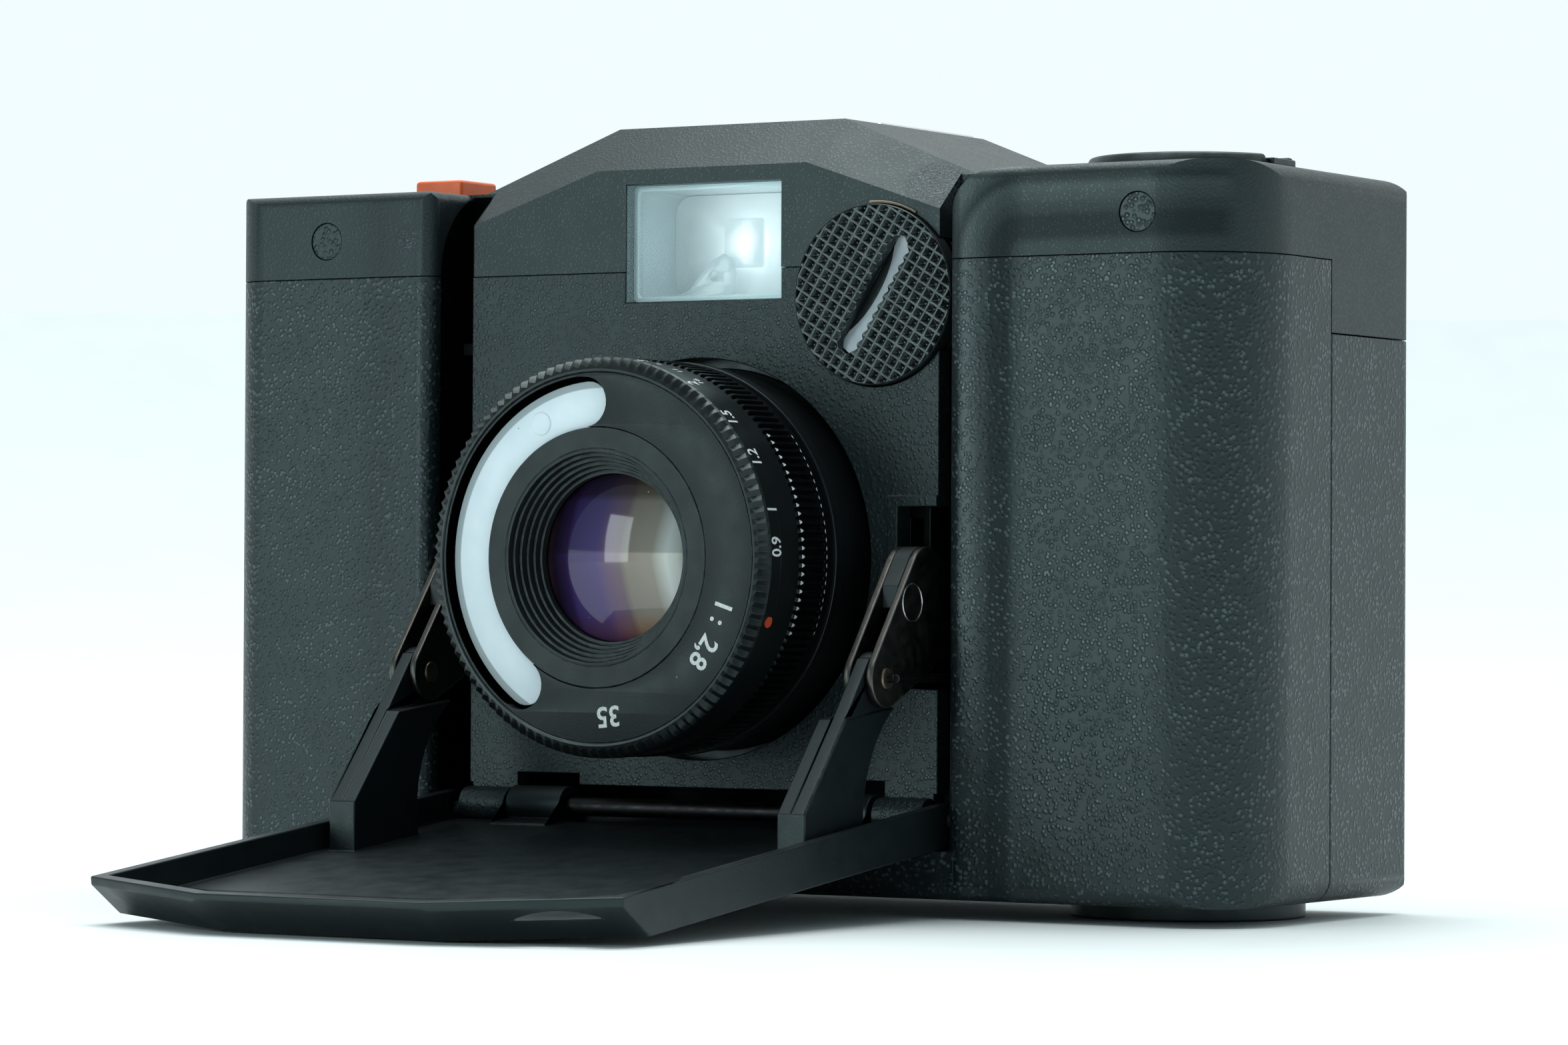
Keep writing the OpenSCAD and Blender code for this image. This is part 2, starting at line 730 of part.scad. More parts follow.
module hot_shoe() {
    base_t = 0.6;
    lip_under = shoe_floor + base_t + 2.1;
    home() color(bright) difference() {
        block([centre_x - shoe_half, shoe_y, shoe_floor], [centre_x + shoe_half, body_d, lip_under + 0.6]);
        block([centre_x - 9.35, shoe_y + 1, shoe_floor + base_t], [centre_x + 9.35, 40, lip_under]);
        block([centre_x - 6.3, shoe_y + 1, shoe_floor + base_t], [centre_x + 6.3, 40, 80]);
        block([centre_x - 7, shoe_y - 1, shoe_floor + 1.4], [centre_x + 7, shoe_y + 1.1, 80]);
        z_rod(centre_x, shoe_y + 8, 60, 63, 2.2);
    }
}

module flash_contact() {
    home() color(brass) z_rod(centre_x, shoe_y + 8, shoe_floor, shoe_floor + 0.9, 2.2);
}

module release_button() {
    home() color(orange) {
        block([-38.3, 12, 56.6], [-33.3, 17.5, release_top]);
        block([-38.9, 11.4, 55.6], [-32.7, 18.1, 56.6]);
    }
}

module advance_lever() {
    angle = atan2(30 - lever_y, -20.5 - lever_x);
    home() color(black) {
        z_rod(lever_x, lever_y, 51, 55.6, 3);
        translate([lever_x, lever_y, 53.5]) rotate([0, 0, angle]) block([0, -1.9, 0], [23, 1.9, 2.1]);
        block([-26.5, 30.1, 51.2], [-19, rear_y, 57.4]);
    }
}

module take_up_spool() {
    home() color(dark) difference() {
        union() {
            z_rod(spool_x, spool_y, 4.2, 49.5, 5.6);
            for (z = [4.2, 48.5]) z_rod(spool_x, spool_y, z, z + 1, 8.5);
        }
        for (a = [0:120:359]) translate([spool_x, spool_y, 14]) rotate([0, 0, a]) block([4, -0.6, 0], [8, 0.6, 26]);
    }
}

module sprocket() {
    home() color(bright) {
        z_rod(sprocket_x, sprocket_y, 41.8, 44.4, sprocket_r);
        z_rod(sprocket_x, sprocket_y, 39, 49.8, 1.5);
        for (a = [0:45:359]) translate([sprocket_x, sprocket_y, 42.4]) rotate([0, 0, a + 22.5])
            block([5, -0.6, 0], [7, 0.6, 1.4]);
    }
}

module counter_dial() {
    home() color(bright) {
        z_rod(-38, 24.6, 56.4, 57, 4.4);
        z_rod(-38, 24.6, 57, 57.65, 0.8);
    }
}

module counter_window() { home() color(clear) z_rod(-38, 22, deck_top + 0.05, body_h - 0.1, 1.8); }

knob_z = body_h + 0.15;
knob_top = 60.6;
knob_r = 8.8;
crank_top = knob_top - 0.2;
crank_from = -6;

module rewind_knob() {
    home() color(black) difference() {
        translate([cassette_x, cassette_y, knob_z]) cylinder(r1 = knob_r, r2 = knob_r - 0.5, h = knob_top - knob_z);
        block([cassette_x + crank_from - 2.3, cassette_y - 2.3, knob_top - 1], [cassette_x + 12, cassette_y + 2.3, 70]);
    }
}

module rewind_shaft() {
    home() color(bright) {
        z_rod(cassette_x, cassette_y, 50.2, knob_z, 2.5);
        for (s = [-1, 1]) block([cassette_x + 1.2 * s - 0.5, cassette_y - 1.6, 46.5], [cassette_x + 1.2 * s + 0.5, cassette_y + 1.6, 50.2]);
    }
}

module rewind_crank() {
    low = knob_top - 0.9;
    axle = crank_top - 0.4;
    home() color(dark) difference() {
        union() {
            block([cassette_x + crank_from, cassette_y - 2, low], [cassette_x + 6.5, cassette_y + 2, crank_top]);
            block([cassette_x + 6.4, cassette_y - 2, low], [cassette_x + knob_r - 0.2, cassette_y + 2, crank_top - 0.1]);
            y_rod(cassette_x + crank_from, cassette_y - 2, cassette_y + 2, axle, 0.4);
        }
        y_rod(cassette_x + crank_from, 0, 40, axle, 0.2);
    }
}

// ---- underside ----

module lock_disc() {
    home() color(black) difference() {
        union() {
            z_rod(cassette_x, cassette_y, -foot_h, -0.1, disc_r);
            z_rod(cassette_x, cassette_y, -0.2, 3.7, 4.5);
            z_rod(cassette_x, cassette_y, wall + 0.1, wall + 0.9, 6);
        }
        z_rod(cassette_x, cassette_y, -foot_h - 1, tripod_depth - foot_h, tripod_r);
    }
}

module film_speed_dial() {
    home() color(black) difference() {
        union() {
            z_rod(-cassette_x, cassette_y, -foot_h, -0.1, disc_r);
            z_rod(-cassette_x, cassette_y, -0.2, 3.2, 3);
        }
        block([-cassette_x - 6, cassette_y - 0.6, -foot_h - 1], [-cassette_x + 6, cassette_y + 0.6, -foot_h + 0.6]);
    }
}

module rewind_release_button() {
    home() color(dark) {
        z_rod(-22, 11, -0.4, 2.6, 1.9 - fit);
        z_rod(-22, 11, wall + 0.1, 2.2, 2.4);
    }
}

module battery_check_button() {
    home() color(dark) {
        y_rod(15.5, back_in - 0.8, rear_y - 0.2, 52.5, 1.6);
        y_rod(15.5, back_in - 1.4, back_in - 0.1, 52.5, 2.2);
    }
}

// ---- battery ----

module battery_cap() {
    home() color(black) difference() {
        union() {
            y_rod(battery_x, panel_y - 0.7, panel_y + 1.9, battery_z, 7.45);
            y_rod(battery_x, panel_y + 1.85, panel_y + 3, battery_z, 6.5);
        }
        translate([battery_x, 0, battery_z]) rotate([0, 30, 0]) block([-0.6, 0, -5], [0.6, panel_y, 5]);
    }
}

module battery_tube() {
    home() color(dark) difference() {
        y_rod(battery_x, panel_y + 1.9, 25.5, battery_z, 7.3);
        y_rod(battery_x, 0, 40, battery_z, 6.6);
    }
}

module battery() {
    home() color(bright) {
        y_rod(battery_x, 7, 23.4, battery_z, 6.4);
        y_rod(battery_x, 6.2, 7, battery_z, 3);
    }
}

module battery_spring() {
    home() color(brass) {
        y_rod(battery_x, 23.5, 24.2, battery_z, 4);
        y_rod(battery_x, 24.2, 25.5, battery_z, 2);
    }
}

// ---- film path on the back cover ----

module pressure_plate() { home() color(black) block([-23.5, film_y + 0.2, 10.5], [18.5, film_y + 0.8, 44.5]); }

module pressure_spring() {
    home() color(bright) {
        block([-10, film_y + 0.8, 24], [5, film_y + 1.2, 31]);
        block([-4.5, film_y + 1.2, 24], [-0.5, back_in, 31]);
    }
}

front_shell();
front_panel();
top_cover();
back_cover();
chassis();
chassis_roof();
film_gate();
hinge_shaft();
door();
left_link_plates();
left_link_block();
left_link_pins();
left_pull_wire();
right_link_plates();
right_link_block();
right_link_pins();
right_pull_wire();
guide_rods();
lens_carriage();
lens_barrel();
focus_ring();
aperture_ring();
face_plate();
meter_window();
baffle_ring();
front_lens();
aperture_plate();
left_shutter_blade();
right_shutter_blade();
rear_lens_cell();
rear_lens();
finder_window();
finder_housing();
finder_lens();
finder_scale();
eyepiece_frame();
eyepiece_lens();
hot_shoe();
flash_contact();
battery_cap();
battery_tube();
battery();
battery_spring();
release_button();
advance_lever();
take_up_spool();
sprocket();
counter_dial();
counter_window();
rewind_knob();
rewind_shaft();
rewind_crank();
lock_disc();
film_speed_dial();
rewind_release_button();
battery_check_button();
pressure_plate();
pressure_spring();
screw_covers();
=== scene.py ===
import math

import bpy
import bmesh
from mathutils import Matrix, Vector


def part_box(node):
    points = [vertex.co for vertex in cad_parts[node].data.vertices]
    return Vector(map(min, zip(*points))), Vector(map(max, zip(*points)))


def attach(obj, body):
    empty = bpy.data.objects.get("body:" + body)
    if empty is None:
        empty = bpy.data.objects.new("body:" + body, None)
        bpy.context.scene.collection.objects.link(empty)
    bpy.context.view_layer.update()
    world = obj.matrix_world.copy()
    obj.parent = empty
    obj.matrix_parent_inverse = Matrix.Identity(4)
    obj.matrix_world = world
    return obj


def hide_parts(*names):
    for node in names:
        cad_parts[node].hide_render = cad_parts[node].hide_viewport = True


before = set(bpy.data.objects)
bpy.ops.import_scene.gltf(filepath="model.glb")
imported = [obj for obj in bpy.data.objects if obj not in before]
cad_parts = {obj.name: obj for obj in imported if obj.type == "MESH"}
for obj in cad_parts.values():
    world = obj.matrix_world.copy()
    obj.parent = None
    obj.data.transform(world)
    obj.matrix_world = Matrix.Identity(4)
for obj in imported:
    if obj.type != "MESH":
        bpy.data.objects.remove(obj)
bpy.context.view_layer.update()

# Lengths are millimetres in the CAD's row frame unless a name ends in _m; MM turns them into metres.
MM = 0.001
TURN = 2 * math.pi


# ---- places, read from the frame ----

def low(node):
    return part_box(node)[0] / MM


def high(node):
    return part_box(node)[1] / MM


def middle(node):
    return (low(node) + high(node)) / 2


class Seat:
    """A flat drawing frame: x to the right and y up as seen from outside, z towards the viewer."""

    def __init__(self, origin, right, up):
        self.origin, self.right, self.up = Vector(origin), Vector(right).normalized(), Vector(up).normalized()
        self.out = self.right.cross(self.up)

    def at(self, x, y, z=0.0):
        return self.origin + self.right * x + self.up * y + self.out * z

    def polar(self, r, angle, z=0.0):
        return self.at(r * math.cos(angle), r * math.sin(angle), z)

    def moved(self, x, y, z=0.0, turn=0.0):
        """The same frame moved to (x, y, z) and turned in its own plane."""
        c, s = math.cos(turn), math.sin(turn)
        return Seat(self.at(x, y, z), self.right * c + self.up * s, self.up * c - self.right * s)


def facing_front(x, y, z):
    return Seat((x, y, z), (1, 0, 0), (0, 0, 1))


def facing_up(x, y, z):
    return Seat((x, y, z), (1, 0, 0), (0, 1, 0))


def facing_right(x, y, z):
    return Seat((x, y, z), (0, 1, 0), (0, 0, 1))


def facing_left(x, y, z):
    return Seat((x, y, z), (0, -1, 0), (0, 0, 1))


# ---- materials ----

# Height of the wings' fronts in millimetres, by x: raised along both wings' inner borders.
CROWN = ((-50, 0.0), (-38, 0.0), (-36, 0.02), (-34.6, 0.06), (-33, 0.22), (-31, 0.38), (-29, 0.4),
         (23, 0.9), (24.5, 0.9), (26, 0.86), (28, 0.45), (29.6, 0.04), (31, 0.0), (40, 0.0), (50, 0.0))
CROWN_REACH = 50
# It fades out between these two depths.
CROWN_FULL, CROWN_GONE = 10.2, 12.5
# The gap between the left wing and the front panel: its width, and the lit strip left at the wing's edge in
# front of the painted shade, with that shade's corner radius.
GAP_W, LIT_STRIP, SHADE_CORNER_R = 2.3, 1.5, 7.6
# Painted reflection bands: gloss of the right wing's front by millimetres in from its border, where PLAIN is
# a face without relief.
PLAIN = 0.5
PAINTED_SHEEN = ((0, 0.72), (0.5, 0.55), (1.1, 0.34), (1.9, 0.72), (2.6, 0.62), (3.5, 0.44), (4.4, 0.25),
         (5.6, 0.25), (6.6, PLAIN), (7, PLAIN))
# That border's corner radius, and the height of its top.
BORDER_R, WING_TOP = 7.0, high("front_shell").z + 7.35
FRONT_TINT = (0.80, 0.98, 1.0)


class Paint:
    """A Principled material, with short ways to put noise, masks and bump into it, in millimetres."""

    def __init__(self, name, **values):
        self.material = bpy.data.materials.new(name)
        self.material.use_nodes = True
        self.tree = self.material.node_tree
        self.shader = self.tree.nodes["Principled BSDF"]
        self.place = self.tree.nodes.new("ShaderNodeTexCoord").outputs["Object"]
        self.height = None
        for key, value in values.items():
            self.set(key.replace("_", " "), value)

    def set(self, socket, value):
        if isinstance(value, bpy.types.NodeSocket):
            self.tree.links.new(value, self.shader.inputs[socket])
        elif isinstance(value, (tuple, list)) and len(value) == 3:
            self.shader.inputs[socket].default_value = (*value, 1.0)
        else:
            self.shader.inputs[socket].default_value = value

    def node(self, kind, inputs=(), **settings):
        n = self.tree.nodes.new(kind)
        for key, value in settings.items():
            setattr(n, key, value)
        for key, value in dict(inputs).items():
            if isinstance(value, bpy.types.NodeSocket):
                self.tree.links.new(value, n.inputs[key])
            else:
                n.inputs[key].default_value = value
        return n

    def noise(self, size, detail=3.0, rough=0.55, stretch=None):
        vector = self.place
        if stretch:
            vector = self.node("ShaderNodeMapping", {"Vector": self.place, "Scale": stretch}).outputs[0]
        n = self.node("ShaderNodeTexNoise", {"Vector": vector, "Scale": 1 / (size * MM), "Detail": detail,
                                             "Roughness": rough})
        return n.outputs["Fac"]

    def cells(self, size):
        """Distance from the nearest of many scattered points, about size apart."""
        n = self.node("ShaderNodeTexVoronoi", {"Vector": self.place, "Scale": 1 / (size * MM)})
        return n.outputs["Distance"]

    def remap(self, fac, low_in, high_in, low_out=0.0, high_out=1.0):
        n = self.node("ShaderNodeMapRange", {"Value": fac, "From Min": low_in, "From Max": high_in,
                                             "To Min": low_out, "To Max": high_out})
        return n.outputs["Result"]

    def mix(self, fac, a, b, blend="MIX"):
        n = self.node("ShaderNodeMix", data_type="RGBA", blend_type=blend)
        for socket, value in ((n.inputs[0], fac), (n.inputs[6], a), (n.inputs[7], b)):
            if isinstance(value, bpy.types.NodeSocket):
                self.tree.links.new(value, socket)
            else:
                socket.default_value = (*value, 1.0) if isinstance(value, (tuple, list)) else value
        return n.outputs[2]

    def math(self, operation, a, b=0.0):
        return self.node("ShaderNodeMath", {0: a, 1: b}, operation=operation).outputs[0]

    def axes(self):
        """The X, Y and Z of a place in the row frame, in metres."""
        return self.node("ShaderNodeSeparateXYZ", {0: self.place}).outputs

    def distance(self, point, start=None):
        """Metres from a point in the row frame."""
        inputs = {0: start or self.place, 1: tuple(c * MM for c in point)}
        return self.node("ShaderNodeVectorMath", inputs, operation="DISTANCE").outputs["Value"]

    def corner(self, *pairs):
        """Distance from a corner, given two (more, less) pairs that say how far past it a place is."""
        past = [self.math("MAXIMUM", self.math("SUBTRACT", *pair), 0.0) for pair in pairs]
        return self.math("SQRT", self.math("ADD", *[self.math("POWER", side, 2.0) for side in past]))

    def ramp(self, fac, stops, interpolation="LINEAR"):
        """A colour from a ramp through (position, colour) stops, in rising order."""
        n = self.node("ShaderNodeValToRGB", {"Fac": fac})
        n.color_ramp.interpolation = interpolation
        elements = n.color_ramp.elements
        for place, _ in stops[1:-1]:
            elements.new(place)
        for element, (place, colour) in zip(elements, stops):
            element.position, element.color = place, (*colour, 1)
        return n.outputs["Color"]

    def near(self, point, radius, soft):
        """1 within radius of a point in the row frame, falling to 0 over soft."""
        return self.remap(self.distance(point), (radius + soft) * MM, radius * MM)

    def edge(self, radius):
        """1 on edges sharper than radius and 0 on flat faces, by how far a rounded normal turns."""
        soft = self.node("ShaderNodeBevel", {"Radius": radius * MM}, samples=4).outputs[0]
        hard = self.node("ShaderNodeNewGeometry").outputs["Normal"]
        dot = self.node("ShaderNodeVectorMath", {0: soft, 1: hard}, operation="DOT_PRODUCT").outputs["Value"]
        return self.remap(dot, 0.99, 0.85)

    def bump(self, height, depth, strength=1.0):
        """Adds relief of depth millimetres on top of what is there."""
        inputs = {"Height": height, "Distance": depth * MM, "Strength": strength}
        if self.height:
            inputs["Normal"] = self.height
        self.height = self.node("ShaderNodeBump", inputs).outputs["Normal"]
        self.set("Normal", self.height)

    def crowned(self):
        """The relief that CROWN gives, in millimetres, on the wings' fronts only."""
        axes = self.axes()
        across = self.remap(axes["X"], -CROWN_REACH * MM, CROWN_REACH * MM)
        stops = [((x + CROWN_REACH) / (2 * CROWN_REACH), (rise, rise, rise)) for x, rise in CROWN]
        front = self.remap(axes["Y"], CROWN_GONE * MM, CROWN_FULL * MM)
        return self.math("MULTIPLY", self.ramp(across, stops, "B_SPLINE"), front)

    def painted_sheen(self):
        """Painted reflection bands: how glossy the right wing's front is made, by the distance from its
        rounded inner border.
        """
        axes, front = self.axes(), low("front_shell").y
        border = high("front_panel").x + GAP_W
        far = self.corner(((border + BORDER_R) * MM, axes["X"]), (axes["Z"], (WING_TOP - BORDER_R) * MM))
        stops = [(inwards / BORDER_R, (gloss, gloss, gloss)) for inwards, gloss in PAINTED_SHEEN]
        gloss = self.ramp(self.remap(far, BORDER_R * MM, 0.0), stops, "EASE")
        wing = self.remap(axes["X"], (border - 1.5) * MM, (border - 0.5) * MM)
        ahead = self.remap(axes["Y"], (front + 3.0) * MM, (front + 2.0) * MM)
        return self.mix(self.math("MULTIPLY", wing, ahead), (PLAIN, PLAIN, PLAIN), gloss)

    def painted_pocket_shade(self):
        """Mask of painted shade: 1 on the wing's inner side in the gap beside the left wing, behind a narrow
        lit strip whose edge curves back above the split.
        """
        axes, front = self.axes(), low("front_shell").y
        gap_x = low("front_panel").x - GAP_W / 2
        far = self.corner((axes["Z"], high("front_shell").z * MM),
                          ((front + LIT_STRIP + SHADE_CORNER_R) * MM, axes["Y"]))
        inside = self.remap(far, (SHADE_CORNER_R + 0.04) * MM, (SHADE_CORNER_R - 0.08) * MM)
        ahead = self.remap(axes["Y"], (front + 7.2) * MM, (front + 6.9) * MM)
        off = self.math("ABSOLUTE", self.math("SUBTRACT", axes["X"], gap_x * MM))
        beside = self.remap(off, (GAP_W / 2 + 0.2) * MM, (GAP_W / 2 + 0.1) * MM)
        return self.math("MULTIPLY", self.math("MULTIPLY", inside, ahead), beside)

    def dust(self, colour, spacing, size, onto):
        """Small pale specks over a colour."""
        dots = self.remap(self.cells(spacing), size, size * 0.6)
        sparse = self.remap(self.noise(spacing * 3.1, 1.0), 0.52, 0.56)
        return self.mix(self.math("MULTIPLY", dots, sparse), onto, colour)


def moulded(name, colour, pebble, depth, rough, wear=(), crown=False, pebble_highlight=(0.016, 0.024, 0.027)):
    """Black moulded plastic with a pebbled grain, whose pebble tops are painted lighter in patches as painted
    highlights. wear lists (point, radius) of rubbed places, and crown adds the wings' relief, painted shade
    in the gap beside the left wing, and painted reflection bands in the gloss of the right wing's front."""
    glossy = 0.5
    p = Paint(name, Specular_IOR_Level=glossy, Specular_Tint=FRONT_TINT)
    grain = p.math("ADD", p.cells(pebble * 1.5), p.math("MULTIPLY", p.noise(pebble * 0.9, 1.0), 0.5))
    blobs = p.remap(grain, 0.62, 0.50)
    patches = p.remap(p.noise(2.6, 2), 0.38, 0.58)
    tone = p.mix(p.remap(p.noise(9), 0.3, 0.7), colour, tuple(c * 1.25 for c in colour))
    # Painted highlight: pebble tops, in patches, take a lighter colour that stands in for light caught by the
    # grain.
    tone = p.mix(p.math("MULTIPLY", blobs, patches), tone, pebble_highlight)
    tone = p.dust((0.20, 0.23, 0.24), 2.6, 0.03, tone)
    p.set("Roughness", p.remap(p.math("ADD", p.noise(3.3), blobs), 0.4, 1.4, rough + 0.06, rough - 0.06))
    for point, radius in wear:
        scrape = p.math("MULTIPLY", p.near(point, radius * 0.7, radius * 0.6),
                        p.remap(p.noise(0.32, 3, 0.6, (1.2, 1.2, 2.6)), 0.50, 0.56))
        tone = p.mix(p.math("MULTIPLY", scrape, 0.5), tone, (0.13, 0.15, 0.18))
        p.bump(scrape, 0.06)
    if crown:
        p.bump(p.crowned(), 1.0)
        # Painted shade: the wing's inner side in the gap is painted near black and loses its gloss, where the
        # recess lies in shade.
        pocket_shade = p.painted_pocket_shade()
        tone = p.mix(pocket_shade, tone, (0.0008, 0.001, 0.001))
        # Painted reflection: the right wing's gloss rises and falls in bands that stand in for reflections
        # off its curved border.
        shine = p.math("MULTIPLY", p.painted_sheen(), 2 * glossy)
        p.set("Specular IOR Level", p.math("MULTIPLY", shine, p.remap(pocket_shade, 0.0, 1.0, 1.0, 0.04)))
    p.set("Base Color", tone)
    p.bump(p.remap(grain, 0.8, 0.45), depth)
    return p.material


def satin(name, colour, rough, grain=0.12, depth=0.004, edge_colour=None, glossy=0.5):
    """Fine smooth plastic or paint, with an even grain and slightly rubbed edges."""
    p = Paint(name, Specular_IOR_Level=glossy, Specular_Tint=FRONT_TINT)
    tone = p.mix(p.remap(p.noise(5), 0.3, 0.7), colour, tuple(c * 1.4 for c in colour))
    if edge_colour:
        rub = p.math("MULTIPLY", p.edge(0.12), p.remap(p.noise(0.8, 4), 0.42, 0.62))
        tone = p.mix(rub, tone, edge_colour)
    p.set("Base Color", p.dust((0.3, 0.32, 0.33), 3.1, 0.03, tone))
    p.set("Roughness", p.remap(p.noise(2.2), 0.25, 0.75, rough - 0.06, rough + 0.08))
    p.bump(p.noise(grain, 2), depth)
    return p.material


def metal(name, colour, rough, edge_colour=None, blotch=0.0, brushed=None):
    """Bare or plated metal with fine scratches, blotches of tarnish and bright rubbed edges."""
    p = Paint(name, Metallic=1.0)
    stain = p.remap(p.noise(1.6, 5, 0.65), 0.35, 0.7)
    tone = p.mix(p.math("MULTIPLY", stain, blotch), colour, tuple(c * 0.35 for c in colour))
    if edge_colour:
        tone = p.mix(p.edge(0.18), tone, edge_colour)
    p.set("Base Color", tone)
    p.set("Roughness", p.remap(p.noise(0.9, 4), 0.3, 0.7, rough - 0.08, rough + 0.14))
    p.bump(p.noise(0.35, 3, 0.6, brushed), 0.008)
    return p.material


def glass(name, tint, alpha, rough=0.02):
    """Thin clear glass that shows its gloss: mostly see-through, with a faint smear in its roughness."""
    p = Paint(name, Alpha=alpha, IOR=1.5)
    p.set("Base Color", p.mix(p.remap(p.noise(3), 0.3, 0.7), tint, tuple(c * 0.9 for c in tint)))
    p.set("Roughness", p.remap(p.noise(2.4), 0.3, 0.7, rough, rough + 0.03))
    p.bump(p.noise(9, 0), 0.0006)
    return p.material


def lens_paint():
    """Dark glass painted with its coating's colours and painted reflections, from violet over mauve to amber,
    with a painted highlight at the pale right-hand edge and painted shade that darkens the upper part and
    browns the top and bottom edges.
    """
    p = Paint("lens_paint", Specular_IOR_Level=0.3, Coat_Weight=0.35, Coat_Roughness=0.03)
    at = middle("front_lens")
    radius = (high("front_lens").x - low("front_lens").x) / 2
    axes = p.axes()
    bend = p.math("MULTIPLY", p.math("ABSOLUTE", p.math("SUBTRACT", axes["Z"], at.z * MM)), -0.16)
    across = p.remap(p.math("ADD", axes["X"], bend), (at.x - radius) * MM, (at.x + radius) * MM)
    # Coating colours and painted reflections across the glass, with a painted highlight near the right-hand
    # edge.
    coating_and_reflections = p.ramp(across, [
        (0.0, (0.05, 0.022, 0.020)), (0.10, (0.010, 0.005, 0.014)), (0.20, (0.026, 0.014, 0.055)),
        (0.24, (0.052, 0.032, 0.13)), (0.42, (0.085, 0.058, 0.19)), (0.50, (0.15, 0.09, 0.17)),
        (0.57, (0.17, 0.12, 0.145)), (0.61, (0.27, 0.23, 0.19)), (0.76, (0.36, 0.33, 0.27)),
        (0.84, (0.78, 0.82, 0.76)), (0.90, (0.62, 0.66, 0.60)), (0.97, (0.14, 0.12, 0.10)),
        (1.0, (0.03, 0.022, 0.02))])
    # Painted shade by height: darker towards the top, browner at the top and bottom edges.
    painted_shade_by_height = p.ramp(p.remap(axes["Z"], (at.z - radius) * MM, (at.z + radius) * MM), [
        (0.0, (0.4, 0.22, 0.16)), (0.10, (0.9, 0.62, 0.48)), (0.17, (1, 0.86, 0.8)), (0.20, (0.95, 0.95, 1)),
        (0.52, (1, 1, 1)), (0.53, (0.68, 0.7, 0.72)), (0.80, (0.55, 0.58, 0.6)), (0.84, (0.26, 0.24, 0.2)),
        (1.0, (0.03, 0.03, 0.03))])
    tint = p.mix(1.0, coating_and_reflections, painted_shade_by_height, "MULTIPLY")
    p.set("Base Color", p.dust((0.6, 0.62, 0.66), 1.3, 0.045, tint))
    p.set("Roughness", p.remap(p.noise(4, 1), 0.3, 0.7, 0.04, 0.08))
    return p.material


def diffuser_paint():
    """The light meter's pale diffuser, greyer along its outer edge."""
    p = Paint("diffuser_paint", Specular_IOR_Level=0.4)
    at = middle("front_lens")
    grey_from, grey_to = 13.75, 13.85
    flat = p.node("ShaderNodeVectorMath", {0: p.place, 1: (1.0, 0.0, 1.0)}, operation="MULTIPLY")
    far = p.distance((at.x, 0.0, at.z), flat.outputs["Vector"])
    tone = p.mix(p.remap(p.noise(4), 0.3, 0.7), (0.80, 0.91, 0.97), (0.72, 0.84, 0.90))
    tone = p.mix(p.remap(far, grey_from * MM, grey_to * MM), tone, (0.36, 0.43, 0.45))
    p.set("Base Color", p.dust((0.2, 0.2, 0.2), 2.1, 0.03, tone))
    p.set("Roughness", p.remap(p.noise(2.2), 0.25, 0.75, 0.3, 0.42))
    p.bump(p.noise(0.3, 2), 0.001)
    return p.material


def glowing(name, centre, reach, inner, outer, glow):
    """A pale glossy surface that glows, brightest at one place: painted light standing in for the light that
    glass gathers from behind.
    """
    p = Paint(name, Specular_IOR_Level=0.6)
    far = p.math("ADD", p.distance(centre), p.math("MULTIPLY", p.noise(2.5, 2), 1.2 * MM))
    fall = p.remap(far, reach[0] * MM, reach[1] * MM)
    tone = p.mix(fall, inner, outer)
    p.set("Base Color", tone)
    p.set("Emission Color", tone)
    p.set("Emission Strength", p.remap(fall, 0, 1, glow, glow * 0.25))
    p.set("Roughness", p.remap(p.noise(1.5), 0.3, 0.7, 0.12, 0.2))
    p.bump(p.noise(4, 0), 0.002)
    return p.material


def ink(name, colour):
    """Printed figures: matt, slightly uneven and rubbed."""
    p = Paint(name)
    p.set("Base Color", p.mix(p.remap(p.noise(0.25, 3), 0.3, 0.75), colour, tuple(c * 0.72 for c in colour)))
    p.set("Roughness", p.remap(p.noise(0.4), 0.3, 0.7, 0.45, 0.65))
    p.bump(p.noise(0.1, 2), 0.004)
    return p.material


